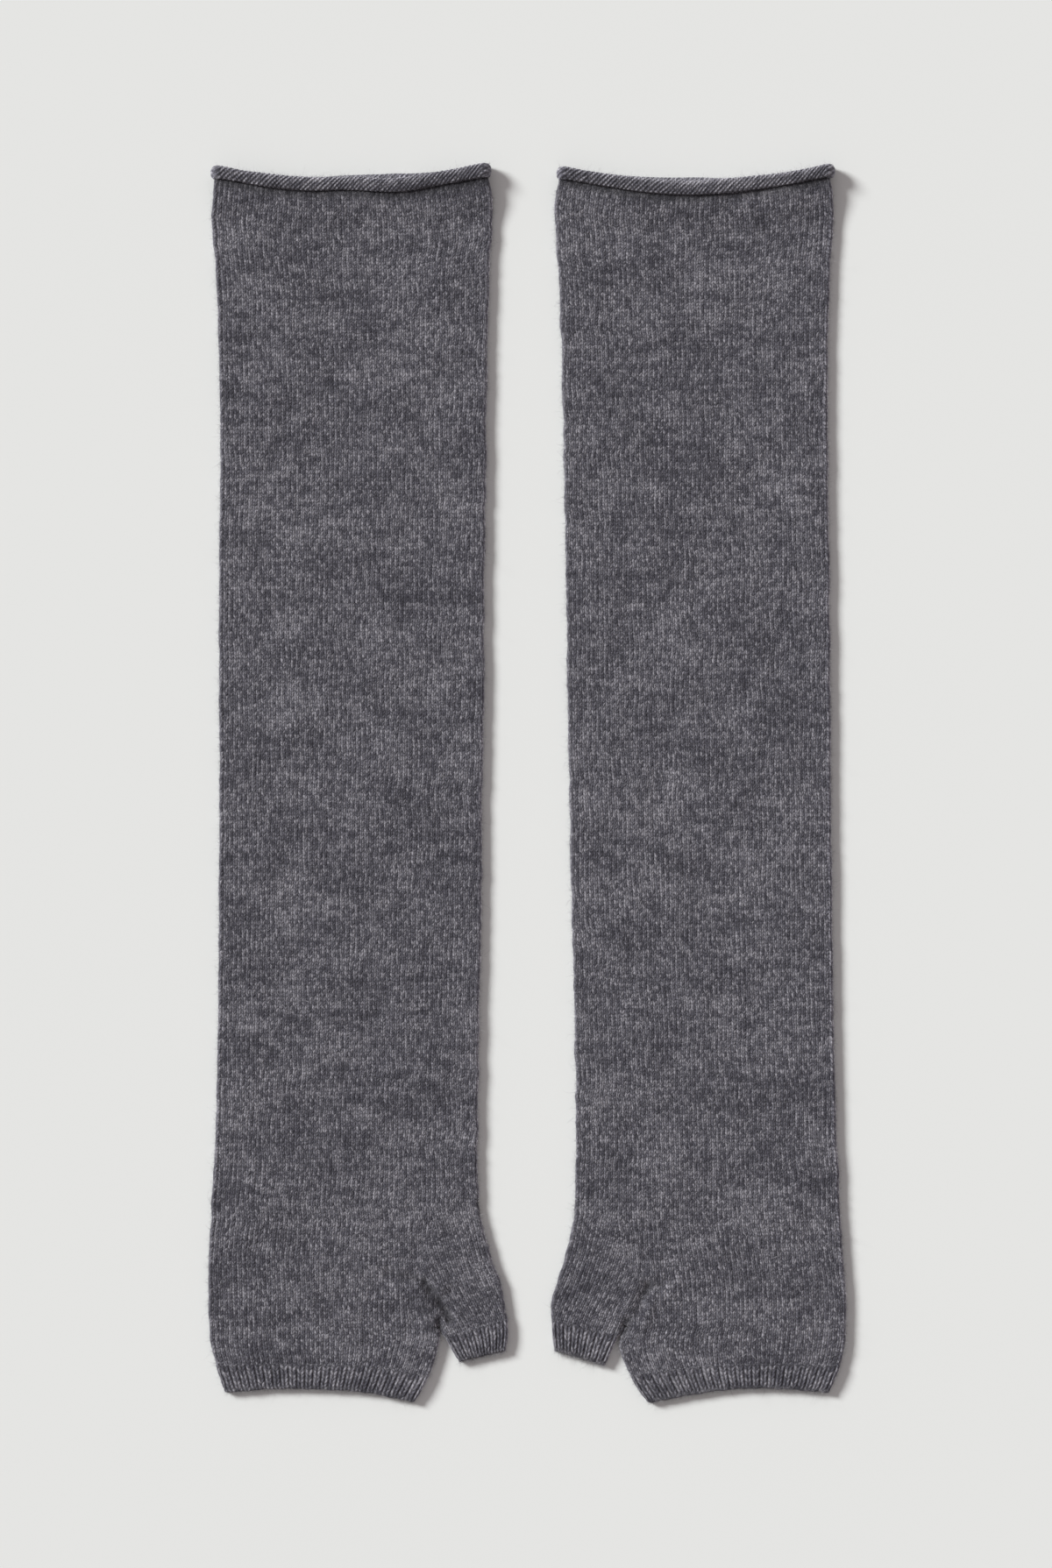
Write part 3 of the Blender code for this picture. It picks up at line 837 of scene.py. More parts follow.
@dataclass
class ArmTube(KnitPiece):
    """The arm and hand tube in stocking stitch, open along the thumb's side where the gusset joins it."""

    part: str = "arm"
    columns_per_wale: int = 4
    hand_step: float = 1.25
    arm_step: float = 3.3
    hem_step: float = 1.5
    seam_shut: float = 0.02
    slack: float = 0.1
    rows_per_inner: int = 8

    def rows(self) -> Array:
        """Row heights at the little side: fine at the hand and the hem, wider along the arm."""
        shape = self.shape
        corner = shape.hem[0]
        top = corner.front - corner.wide / 2
        start = float(shape.cuff_line(0.0, "start"))
        stops = (start, shape.crotch.y, CLOTH.gusset_top, top - CLOTH.roll_ramp, top)
        steps = (self.hand_step, self.hand_step, self.arm_step, self.hem_step)
        runs = [
            np.linspace(low, high, int((high - low) / step) + 1)[:-1]
            for low, high, step in zip(stops, stops[1:], steps)
        ]
        return np.concatenate(runs + [[top]])

    def gather(self) -> tuple[Mesh, tuple[float, float], float]:
        """The tube's mesh and cut."""
        shape = self.shape
        per = self.columns_per_wale
        ring = Round(CLOTH.arm_wales * per + 1, CLOTH.arm_wales * 2 + 1, CLOTH.fold_wales * per - 1)
        rows = self.rows()
        top = rows[-1]
        crotch = shape.crotch.y
        to_cuff = np.clip((crotch - rows) / (crotch - rows[0]), 0.0, 1.0)[:, None]
        to_hem = ease((rows - top + CLOTH.hem_sag_reach) / CLOTH.hem_sag_reach)[:, None]
        line, wide = shape.hem_line(ring.share, ring.angle > 0)
        line = ring.hold_ends(line)
        hem_bow = line - wide / 2 - top
        cuff_bow = shape.cuff_line(ring.share, "start") - shape.cuff_line(0.0, "start")
        sag = to_cuff * cuff_bow + to_hem * hem_bow

        turn = CLOTH.turn
        thumb_y = rows + to_cuff[:, 0] * cuff_bow[ring.front - 1]
        low, high = shape.join_line()
        slope = (high[0] - low[0]) / (high[1] - low[1])
        join = low[0] + (rows - low[1]) * slope - self.seam_shut
        on_hand = rows <= crotch + CLOTH.join_margin
        open_side = ~on_hand & (rows < CLOTH.gusset_top - CLOTH.join_margin)
        thumb = np.where(on_hand, shape.palm_side(thumb_y), shape.thumb_side(rows)) - turn
        thumb = np.where(open_side, join, thumb)
        little = shape.little_side(rows) + turn
        out = np.tile([1.0, 0.0], (len(rows), 1))

        x = little[:, None] * (1.0 - ring.share) + thumb[:, None] * ring.share
        y = rows[:, None] + sag
        free = np.where(rows < crotch + 1.0, crotch - rows, rows - CLOTH.gusset_top) / CLOTH.opening_fade
        free = ease(np.where(open_side, 0.0, free))[:, None]
        from_little = x - little[:, None]
        from_thumb = thumb[:, None] - x
        swell = bell(from_little, CLOTH.edge_swell_reach) + free * bell(from_thumb, CLOTH.edge_swell_reach)
        beside = free * from_thumb + (1.0 - free) * (shape.thumb_side(y) - x)
        calm = np.clip(np.minimum(from_little, beside) / CLOTH.drift_fade, 0.0, 1.0)
        rise = CLOTH.edge_swell * swell + shape.crease_rise(x, y) + shape.drift(x, y) * calm
        ramp = ease((rows - top + CLOTH.roll_ramp) / CLOTH.roll_ramp)
        middle = (turn + ramp * (CLOTH.roll_high - CLOTH.wall))[:, None]

        bow = cuff_bow * ease((CLOTH.bow_top - y) / (CLOTH.bow_top - rows[0]))
        level = rows[:, None] + to_cuff * cuff_bow - bow
        panel = ring.around(shape.panel_wales(x, y - to_hem * hem_bow), CLOTH.arm_wales)
        hand = ring.around(shape.panel_wales(x, y), CLOTH.hand_wales)
        panel = np.where(on_hand[:, None], hand, panel)
        gusset = ring.around(shape.gusset_wales(x, y), CLOTH.arm_wales)
        leaning = shape.in_gusset(x, y) & (ring.is_front | ring.is_back)
        wales = np.where(leaning, gusset, panel)
        courses = shape.panel_courses(x, level)
        ways = [np.dstack([panel, courses]), np.dstack([gusset, shape.gusset_courses(x, y)])]

        sides = (np.column_stack([little, rows]), np.column_stack([thumb, rows]), -out, out)
        outer = ring.place(*sides, turn + wale_ridge(wales), middle, sag, rise)
        near_hole = np.flatnonzero((rows > crotch - self.slack) & (rows < CLOTH.gusset_top + self.slack))
        every = np.arange(0, len(rows), self.rows_per_inner)
        inner_rows = np.unique(np.concatenate([every, near_hole, [len(rows) - 1]]))
        inner_all = ring.place(*sides, CLOTH.half_gap, middle, sag, rise * CLOTH.inner_rise)
        kept = np.ones((len(rows) - 1, ring.columns), bool)
        opened = (rows[:-1] > crotch - self.slack) & (rows[:-1] < CLOTH.gusset_top - self.slack)
        kept[opened, ring.thumb_fold] = False
        # Painted light near the outline, strongest on the side away from the light.
        haze_and_painted_rim_light = bell(from_little, CLOTH.painted_rim_light_reach) * shape.painted_rim_light(0.0)
        haze_and_painted_rim_light += free * bell(from_thumb, CLOTH.painted_rim_light_reach) * shape.painted_rim_light(1.0)
        # Painted shadow on the arm just below the roll.
        painted_shadow_under_roll = CLOTH.roll_painted_shadow * bell(np.maximum(line - wide / 2 - y, 0.0), CLOTH.roll_shade)
        painted_shade_and_light = (shape.crease_painted_shade(x, y) + painted_shadow_under_roll - CLOTH.haze_and_painted_rim_light * haze_and_painted_rim_light) * ring.upwards
        painted_shade_and_light -= ring.outwards ** CLOTH.painted_rim_light_power * shape.painted_rim_light(ring.share)
        mesh = knit_wall(self.node, outer, inner_all[inner_rows], inner_rows, kept, ways, leaning, 0, painted_shade_and_light)
        width = 2.0 * (np.max(thumb - little) + 2.0 * turn)
        length = top - rows[0]
        spans = 2.0 * (thumb - little + turn)
        area = float(np.sum((spans[1:] + spans[:-1]) / 2.0 * np.diff(rows)))
        return mesh, (width, length), area


@dataclass
class ThumbTube(KnitPiece):
    """The thumb tube and its gusset, fanned from the line beside the hand to the thumb's cuff."""

    part: str = "thumb"
    front_columns: int = 97
    back_columns: int = 49
    fold_columns: int = 11
    sections: int = 46

    def gather(self) -> tuple[Mesh, tuple[float, float], float]:
        """The tube's mesh and cut."""
        shape = self.shape
        ring = Round(self.front_columns, self.back_columns, self.fold_columns)
        down = np.linspace(0.0, 1.0, self.sections)
        end = shape.thumb[0]
        turn = CLOTH.turn
        low, high = shape.join_line()
        inner_out = np.outer(1.0 - down, [0.0, -1.0]) + np.outer(down, UNDER_THUMB)
        inner_out /= np.linalg.norm(inner_out, axis=1)[:, None]
        goal = np.array([end.inner_x, end.inner_y]) - inner_out[-1] * turn
        inner = np.outer(1.0 - down, low) + np.outer(down, goal)
        outer_y = high[1] + (end.outer_y - high[1]) * down
        outer_out = np.tile([1.0, 0.0], (len(down), 1))
        outer = np.column_stack([shape.thumb_side(outer_y) - turn, outer_y])
        share = ring.share[None, :]
        x = inner[:, :1] * (1.0 - share) + outer[:, :1] * share
        y = inner[:, 1:] * (1.0 - share) + outer[:, 1:] * share
        wide = np.linalg.norm(outer - inner, axis=1)
        edge = np.minimum(share, 1.0 - share) * wide[:, None]
        free = ease(down * 3.0)[:, None]
        swell = CLOTH.edge_swell * bell(edge, CLOTH.edge_swell_reach) * free
        beside = free * edge + (1.0 - free) * (shape.thumb_side(y) - x)
        calm = np.clip(beside / CLOTH.drift_fade, 0.0, 1.0)
        rise = swell + shape.crease_rise(x, y) + shape.drift(x, y) * calm
        wales = ring.around(shape.gusset_wales(x, y), CLOTH.arm_wales)
        ways = [np.dstack([wales, shape.gusset_courses(x, y)])[::-1]]
        sides = (inner, outer, inner_out, outer_out)
        face = ring.place(*sides, turn + wale_ridge(wales), turn, 0.0, rise)[::-1]
        lining = ring.place(*sides, CLOTH.half_gap, turn, 0.0, rise * CLOTH.inner_rise)[::-1]
        inner_rows = np.unique(np.append(np.arange(0, self.sections, 5), self.sections - 1))
        kept = np.ones((self.sections - 1, ring.columns), bool)
        across = (1.0 - share) * wide[:, None]
        # Painted light near the thumb's outer fold.
        painted_light_amount = CLOTH.haze_and_painted_rim_light * bell(across, CLOTH.painted_rim_light_reach) * shape.painted_rim_light(1.0) * free
        painted_shade_and_light = (shape.crease_painted_shade(x, y) - painted_light_amount) * ring.upwards
        painted_shade_and_light -= ring.outwards ** CLOTH.painted_rim_light_power * shape.painted_rim_light(ring.share) * ease(down * 4.0)[:, None]
        painted_shade_and_light = painted_shade_and_light[::-1]
        mesh = knit_wall(self.node, face, lining[inner_rows], inner_rows, kept, ways, None, 0, painted_shade_and_light)
        length = float(high[1] - end.outer_y)
        spans = 2.0 * (wide + turn)
        area = float(np.sum(spans) / len(spans) * (length + low[1] - end.inner_y) / 2.0)
        return mesh, (float(spans[0]), length), min(area, float(spans[0]) * length)


@dataclass
class RibCuff(KnitPiece):
    """A cuff in narrow rib: knit wales stand out and purl wales lie back, down to a cast-off edge."""

    slot: Slot = Slot.RIB
    ribs: int = 24
    columns_per_rib: int = 12
    sections: int = 22
    furrow: float = 0.42
    split: float = 0.18
    courses: float = 6.0
    edge_bead: float = 1.7
    loop_bump: float = 0.1
    bead_drop: float = 0.3
    fade_in: float = 3.2
    crest: float = 0.3
    back_share: float = 0.45
    back_drop: float = 0.15
    rounding: float = 0.45
    rounding_reach: float = 0.5

    def ring(self) -> Round:
        """Columns round the cuff."""
        fold = 2 * self.columns_per_rib - 1
        return Round(self.ribs * self.columns_per_rib + 1, self.ribs * 6 + 1, fold)

    def relief(self, wales: Array, from_edge: Array, facing: Array) -> Array:
        """Depth of the rib under its crests.

        A knit wale's two legs are a cosine with two crests to each rib. The dip between them is shallow at
        the rib's middle and grows to the full furrow at its sides, where the purl wale lies back. It fades
        into a bead at the cast-off edge, whose own loops are a slanting row of small bumps.
        """
        dip = 0.5 + 0.5 * np.cos(4.0 * math.pi * wales)
        purl = 0.5 + 0.5 * np.cos(FULL_TURN * wales)
        ribbed = -dip * (self.split + (self.furrow - self.split) * purl)
        loops = self.loop_bump * np.cos(FULL_TURN * (2.0 * wales + 0.5 * from_edge / self.edge_bead))
        drop = ease((from_edge - 0.35 * self.edge_bead) / (0.5 * self.edge_bead))
        bead = loops - self.loop_bump - self.bead_drop * drop
        share = ease((from_edge - 0.6 * self.edge_bead) / (0.9 * self.edge_bead))
        ribbed = ribbed * (0.25 + 0.75 * ease((from_edge[:1] - from_edge) / self.fade_in))
        return (ribbed * share + bead * (1.0 - share)) * facing - self.back_drop * (1.0 - facing)

    def finish(self, sides: tuple[Array, ...], from_edge: Array, sag: Array | float) -> Mesh:
        """The cuff's wall from its sides.

        Args:
            sides: Fold turns and bulges, from the start of the rib to its end.
            from_edge: Distance of each point from the cast-off edge.
            sag: Bow of each row.

        Returns:
            The gathered mesh.
        """
        ring = self.ring()
        wales = ring.around(np.broadcast_to(ring.share * self.ribs, from_edge.shape), self.ribs)
        facing = np.where(ring.is_back, self.back_share, 1.0)
        depth = CLOTH.turn + self.crest * ring.upwards + self.relief(wales, from_edge, facing)
        rounded = self.rounding * np.clip(1.0 - from_edge / self.rounding_reach, 0.0, 1.0) ** 2
        rise = CLOTH.edge_swell * np.clip(from_edge / 6.0, 0.25, 1.0)
        face = ring.place(*sides, depth - rounded, CLOTH.turn, sag, rise)[::-1]
        lining = ring.place(*sides, CLOTH.half_gap + rounded * 0.6, CLOTH.turn, sag, rise)[::-1]
        inner_rows = np.arange(len(face))
        ways = [np.dstack([wales, self.courses * from_edge / from_edge[:1]])[::-1]]
        kept = np.ones((len(face) - 1, ring.columns), bool)
        width = np.linalg.norm(sides[1] - sides[0], axis=1)[:, None]
        shape = self.shape
        # Painted light near the outline and on the folds.
        haze_and_painted_rim_light = bell(ring.share * width, CLOTH.painted_rim_light_reach) * shape.painted_rim_light(0.0)
        haze_and_painted_rim_light += bell((1.0 - ring.share) * width, CLOTH.painted_rim_light_reach) * shape.painted_rim_light(1.0)
        painted_light_amount = CLOTH.haze_and_painted_rim_light * haze_and_painted_rim_light * ring.upwards + ring.outwards ** CLOTH.painted_rim_light_power * shape.painted_rim_light(ring.share)
        return knit_wall(self.node, face, lining, inner_rows, kept, ways, None, 1, -painted_light_amount[::-1])


@dataclass
class HandRib(RibCuff):
    """The ribbed cuff round the hand."""

    part: str = "hand_rib"

    def gather(self) -> tuple[Mesh, tuple[float, float], float]:
        """The cuff's mesh and cut."""
        shape = self.shape
        ring = self.ring()
        down = np.linspace(0.0, 1.0, self.sections)
        start = shape.cuff_line(ring.share, "start")
        end = shape.cuff_line(ring.share, "end")
        end = end + 0.12 * np.sin(ring.share * 41.0) + 0.1 * np.sin(ring.share * 97.0 + shape.seed)
        height = start + np.outer(down, end - start)
        turn = CLOTH.turn
        nothing = np.zeros(self.sections)
        little = np.column_stack([shape.little_side(height[:, 0]) + turn, nothing])
        thumb = np.column_stack([shape.palm_side(height[:, ring.front - 1]) - turn, nothing])
        out = np.tile([1.0, 0.0], (self.sections, 1))
        mesh = self.finish((little, thumb, -out, out), height - end, height)
        width = 2.0 * (thumb[0, 0] - little[0, 0] + turn)
        narrow = 2.0 * (thumb[-1, 0] - little[-1, 0] + turn)
        length = float(np.mean(start - end)) + 1.0
        return mesh, (width, length), (width + narrow) / 2.0 * length


@dataclass
class ThumbRib(RibCuff):
    """The ribbed cuff round the thumb."""

    part: str = "thumb_rib"
    ribs: int = 7
    columns_per_rib: int = 14

    def gather(self) -> tuple[Mesh, tuple[float, float], float]:
        """The cuff's mesh and cut."""
        shape = self.shape
        down = np.linspace(0.0, 1.0, self.sections)
        knots = [0.0, 0.5, 1.0]
        corners = {name: smooth(down, knots, column(shape.thumb, name)) for name in ThumbSection._fields}
        inner_out = np.tile(UNDER_THUMB, (self.sections, 1))
        outer_out = np.tile([1.0, 0.0], (self.sections, 1))
        turn = CLOTH.turn
        inner = np.column_stack([corners["inner_x"], corners["inner_y"]]) - inner_out * turn
        outer = np.column_stack([corners["outer_x"], corners["outer_y"]]) - outer_out * turn
        ring = self.ring()
        length = float(np.linalg.norm(inner[0] - inner[-1]) + np.linalg.norm(outer[0] - outer[-1])) / 2.0
        from_edge = np.outer(1.0 - down, np.full(ring.columns, length))
        mesh = self.finish((inner, outer, inner_out, outer_out), from_edge, 0.0)
        wide = 2.0 * (float(np.linalg.norm(outer[0] - inner[0])) + turn)
        narrow = 2.0 * (float(np.linalg.norm(outer[-1] - inner[-1])) + turn)
        return mesh, (wide, length + 1.0), (wide + narrow) / 2.0 * (length + 1.0)


@dataclass
class RolledEdge(KnitPiece):
    """The edge of the knitting curled outwards, once round the top of the arm, with its purl side showing."""

    part: str = "rolled_edge"
    slot: Slot = Slot.ROLLED
    columns_per_wale: int = 6
    outer_points: int = 40
    inner_points: int = 9
    last_angle: float = 205.0
    twist: float = -0.85
    cross: float = 0.75
    bump: float = 0.32
    back_relief: float = 0.4
    lump: float = 0.13
    lump_size: float = 16.0
    rim_drop: float = 0.25
    flat_reach: float = 2.0
    course_share: float = 0.92
    little_reach: float = 1.0
    end_swell: float = 0.5
    end_reach: float = 0.08
    tuck: float = 0.22
    tuck_from: float = 140.0

    def section(self, wide: Array) -> tuple[Array, Array]:
        """Middle line of the curled cloth for each width, and its normals.

        It lies flat for a short way, then follows an oval outwards and back over itself, drawn in a little
        towards its end.

        Args:
            wide: Width of the roll at each column.

        Returns:
            The line and its left-hand normals, each as columns by points by (along, outwards).
        """
        half = CLOTH.roll_wall / 2.0
        angles = np.radians(np.linspace(-90.0, self.last_angle, self.outer_points))
        tucked = math.radians(self.tuck_from)
        tuck = 1.0 - self.tuck * ease((angles - tucked) / math.radians(self.last_angle - self.tuck_from))
        along = (wide[:, None] / 2.0 - half) * np.cos(angles) * tuck
        out = CLOTH.roll_high / 2.0 + (CLOTH.roll_high / 2.0 - half) * np.sin(angles) * tuck
        line = np.dstack([along, np.broadcast_to(out, along.shape)])
        flat = np.stack([-wide / 2.0, np.full_like(wide, half)], axis=-1)[:, None, :]
        line = np.concatenate([flat, flat * [0.6, 1.0], flat * [0.25, 1.0], line[:, 1:]], axis=1)
        heading = np.gradient(line, axis=1)
        heading /= np.linalg.norm(heading, axis=2)[..., None]
        return line, np.dstack([-heading[..., 1], heading[..., 0]])

    def gather(self) -> tuple[Mesh, tuple[float, float], float]:
        """The roll's mesh and cut."""
        shape = self.shape
        per = self.columns_per_wale
        wales = CLOTH.arm_wales
        ring = Round(wales * per + 1, wales * 4 + 1, 6 * per - 1)
        front, wide = shape.hem_line(ring.share, ring.angle > 0)
        front = ring.hold_ends(front)
        still = np.zeros_like(wide)
        lumps = ripple(ring.share * 106.0, still + 40.0 * ring.is_back, self.lump_size, shape.seed + 80)
        near_end = 1.0 - ease(np.minimum(ring.share, 1.0 - ring.share) / self.end_reach)
        wide = wide + self.lump * lumps + self.end_swell * near_end
        line, normal = self.section(wide)
        half = CLOTH.roll_wall / 2.0
        steps = np.linalg.norm(np.diff(line, axis=1), axis=2)
        length = np.concatenate([np.zeros((len(wide), 1)), np.cumsum(steps, axis=1)], axis=1)
        courses = length / (CLOTH.course * self.course_share) * shape.mirror
        around = ring.around(ring.share[None, :] * wales, wales)[0][:, None]
        stray = shape.wander(around * 1.8, courses * 1.5, 70)
        skewed = around - self.twist * courses + stray
        strand = np.cos(FULL_TURN * skewed)
        other = np.cos(FULL_TURN * (skewed + 2.0 * self.twist * courses))
        ridge = (0.5 + 0.5 * strand) * (1.0 - self.cross * (0.5 - 0.5 * other))
        relief = self.bump * (ridge - 1.0) * np.where(ring.is_front, 1.0, self.back_relief)[:, None]
        relief[:, -1] -= self.rim_drop
        facing = half + relief * np.clip(length / self.flat_reach, 0.0, 1.0)
        outside = line - normal * facing[..., None]
        # Painted light on the back, on the folds and on the roll's upper rim.
        fold = np.where(ring.is_back, 0.5, 0.6 * np.abs(np.cos(ring.angle)))[:, None]
        painted_light_amount = np.maximum(0.55 * np.clip(-normal[..., 0], 0.0, 1.0), fold)
        pick = np.linspace(line.shape[1] - 1, 0, self.inner_points).astype(int)
        inside = (line + normal * half)[:, pick]
        loop = np.concatenate([outside, inside], axis=1)
        wale_map = np.concatenate([skewed, skewed[:, pick]], axis=1)
        course_map = np.concatenate([courses, courses[:, pick]], axis=1)

        reach = CLOTH.half_gap + CLOTH.roll_high
        little = shape.sides[1].little + reach - self.little_reach
        thumb = shape.sides[1].thumb - reach
        side = np.where(ring.share > 0.5, 1.0, -1.0) * np.abs(np.cos(ring.angle))
        depth = CLOTH.half_gap + loop[..., 1]
        x = (little * (1.0 - ring.share) + thumb * ring.share)[:, None] + side[:, None] * depth
        y = front[:, None] + loop[..., 0]
        z = reach + np.sin(ring.angle)[:, None] * depth
        points = np.dstack([x, y, z])
        count, corners = loop.shape[:2]
        index = np.arange(count * corners).reshape(count, corners)
        ahead = np.roll(index, -1, 0)
        quads = np.stack([index, np.roll(index, -1, 1), np.roll(ahead, -1, 1), ahead], axis=-1).reshape(-1, 4)
        stitch = np.dstack([wale_map, course_map]).reshape(-1, 2)
        uv = stitch[quads]
        last = np.arange(len(quads)) >= (count - 1) * corners
        uv[last, 2:, 0] = uv[last, 1::-1, 0] + 1.0 / per
        painted_shade_and_light = np.concatenate([-painted_light_amount, np.zeros((count, self.inner_points))], axis=1)
        mesh = Mesh(self.node, points.reshape(-1, 3), [quads], [uv], painted_shade_and_light=painted_shade_and_light.ravel())
        width = 2.0 * (thumb - little) + FULL_TURN * (CLOTH.half_gap + CLOTH.roll_high / 2.0)
        return mesh, (width, float(np.mean(length[:, -1]))), width * float(np.mean(length[:, -1]))


class Run(NamedTuple):
    """A line of roots: its share of all, its points, the heading outwards, and the lowest and highest z."""

    share: float
    line: Array
    toward: float
    low: float
    high: float


@dataclass
class Fuzz:
    """Loose fibres that stand out of the knitting, most of them along the glove's outline.

    Each is a thin bent tube with three sides that tapers to a point and is closed at both ends.
    """

    shape: GloveShape
    material: bpy.types.Material
    edge_strands: int = 11500
    panel_strands: int = 1400
    steps: int = 3
    thick: float = 0.03
    run_points: int = 40
    side_points: int = 60
    side_depth: tuple[float, float] = (0.9, 3.1)
    edge_depth: tuple[float, float] = (0.4, 2.9)
    roll_depth: tuple[float, float] = (2.5, 6.0)
    inside: float = 0.3
    shortest: float = 0.5
    longest: float = 5.5
    short_share: float = 0.9
    stray_heading: float = 0.75
    edge_climb: float = 0.35
    flat_climb: float = 0.06
    lowest: float = 0.08
    taper: float = 0.93

    def runs(self) -> tuple[Run, ...]:
        """Lines of roots along both sides, beside the thumb, and along the cast-off edges and the roll."""
        shape = self.shape
        low, high = CLOTH.fuzz_range
        tip = shape.thumb[-1]
        share = np.linspace(0.0, 1.0, self.run_points)
        end = shape.cuff_line(share, "end")
        cuff_x = shape.little_side(end[:1]) * (1.0 - share) + shape.palm_side(end[-1:]) * share
        front, wide = shape.hem_line(share, True)
        roll_x = (shape.sides[1].little + 1.0) * (1.0 - share) + (shape.sides[1].thumb - 1.0) * share
        cuff = np.column_stack([cuff_x, end + self.inside])
        thumb = np.array([[tip.inner_x, tip.inner_y + self.inside], [tip.outer_x, tip.outer_y + self.inside]])
        roll = np.column_stack([roll_x, front + wide / 2.0 - 0.5])
        down = -math.pi / 2.0
        return (
            self.side_run(0.30, low, high, shape.little_side, -1.0),
            self.side_run(0.30, shape.thumb[0].outer_y, high, shape.thumb_side, 1.0),
            self.side_run(0.02, shape.hand[-1].y + 2.0, shape.crotch.y - 2.0, shape.palm_side, 1.0),
            Run(0.16, cuff, down, *self.edge_depth),
            Run(0.07, thumb, down, *self.edge_depth),
            Run(0.15, roll, -down, *self.roll_depth),
        )

    def side_run(self, share: float, low: float, high: float, side: Callable, sign: float) -> Run:
        """A run of roots up one side, a little inside its outline."""
        y = np.linspace(low, high, self.side_points)
        line = np.column_stack([side(y) - sign * 0.2, y])
        return Run(share, line, 0.0 if sign > 0 else math.pi, *self.side_depth)

    def outline(self, random: np.random.Generator, count: int) -> tuple[Array, Array]:
        """Random roots along the glove's outline.

        Args:
            random: The source of random draws.
            count: How many roots are drawn.

        Returns:
            Root points, and the heading in the plane that points outwards at each.
        """
        runs = self.runs()
        shares = np.array([run.share for run in runs])
        which = random.choice(len(runs), count, p=shares / shares.sum())
        at = random.uniform(0.0, 1.0, count)
        points = np.empty((count, 3))
        heading = np.empty(count)
        for number, run in enumerate(runs):
            chosen = which == number
            place = at[chosen] * (len(run.line) - 1)
            knots = np.arange(len(run.line))
            points[chosen, 0] = np.interp(place, knots, run.line[:, 0])
            points[chosen, 1] = np.interp(place, knots, run.line[:, 1])
            points[chosen, 2] = random.uniform(run.low, run.high, chosen.sum())
            heading[chosen] = run.toward
        return points, heading

    def panel(self, random: np.random.Generator, count: int) -> tuple[Array, Array]:
        """Random roots on the front panel, with headings any way round."""
        shape = self.shape
        y = random.uniform(8.0, 468.0, count)
        side = np.where(y > shape.crotch.y, shape.thumb_side(y), shape.palm_side(y))
        little = shape.little_side(y)
        x = little + (side - little) * random.uniform(0.03, 0.97, count)
        ramp = ease((y - 456.0) / CLOTH.roll_ramp) * (CLOTH.roll_high - CLOTH.wall)
        z = 2.0 * CLOTH.turn + 0.25 + ramp + random.uniform(0.0, 0.3, count)
        return np.column_stack([x, y, z]), random.uniform(0.0, FULL_TURN, count)

    def strands(self) -> tuple[Array, Array]:
        """Middle lines and radii of all fibres.

        A fibre's heading turns evenly along it, so that it runs on an arc, and it climbs or sinks evenly. Its
        radius falls with the root of what is left of its length.

        Returns:
            Points as fibres by steps by xyz, and radii as fibres by steps.
        """
        random = np.random.default_rng(self.shape.seed + 90)
        edge, outward = self.outline(random, self.edge_strands)
        flat, anyway = self.panel(random, self.panel_strands)
        root = np.concatenate([edge, flat])
        count = len(root)
        on_edge = np.arange(count) < self.edge_strands
        turned_by = random.normal(0.0, self.stray_heading, count)
        heading = np.concatenate([outward, anyway]) + np.where(on_edge, turned_by, 0.0)
        short = random.gamma(4.0, 0.27, count)
        long = random.gamma(2.6, 0.8, count)
        length = np.where(on_edge & (random.uniform(0.0, 1.0, count) < self.short_share), short, long)
        length = np.clip(length, self.shortest, self.longest)
        bend = random.normal(0.0, 1.0, count)
        steep = random.normal(0.0, self.edge_climb, count)
        climb = np.where(on_edge, steep, random.normal(0.0, self.flat_climb, count))
        part = np.linspace(0.0, 1.0, self.steps)
        turned = heading[:, None] + bend[:, None] * part
        step = length[:, None] / (self.steps - 1) * np.ones(self.steps)
        step[:, 0] = 0.0
        x = root[:, :1] + np.cumsum(np.cos(turned) * step, axis=1)
        y = root[:, 1:2] + np.cumsum(np.sin(turned) * step, axis=1)
        z = np.maximum(root[:, 2:] + climb[:, None] * length[:, None] * part, self.lowest)
        radius = self.thick * np.sqrt(1.0 - self.taper * part) * random.uniform(0.7, 1.25, (count, 1))
        return np.dstack([x, y, z]), radius

    def make(self) -> bpy.types.Object:
        """Builds the fibres as one piece."""
        line, radius = self.strands()
        count, steps, _ = line.shape
        ahead = np.gradient(line, axis=1)
        ahead /= np.linalg.norm(ahead, axis=2)[..., None]
        across = np.dstack([-ahead[..., 1], ahead[..., 0], np.zeros((count, steps))])
        across /= np.linalg.norm(across, axis=2)[..., None]
        up = np.cross(ahead, across)
        corner = np.radians([90.0, 210.0, 330.0])
        ring = across[:, :, None] * np.cos(corner)[:, None] + up[:, :, None] * np.sin(corner)[:, None]
        points = line[:, :, None] + ring * radius[:, :, None, None]
        index = np.arange(count * steps * 3).reshape(count, steps, 3)
        quads = ring_quads(index).reshape(-1, 4)
        ends = np.concatenate([index[:, 0, ::-1], index[:, -1]])
        stitches = [np.zeros(quads.shape + (2,)), np.zeros(ends.shape + (2,))]
        name = f"{self.shape.name}_fuzz"
        piece = Mesh(name, points.reshape(-1, 3), [quads, ends], stitches).build(self.shape, self.material)
        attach(piece, BODY)
        log.info("%s: %d fibres", name, count)
        return piece


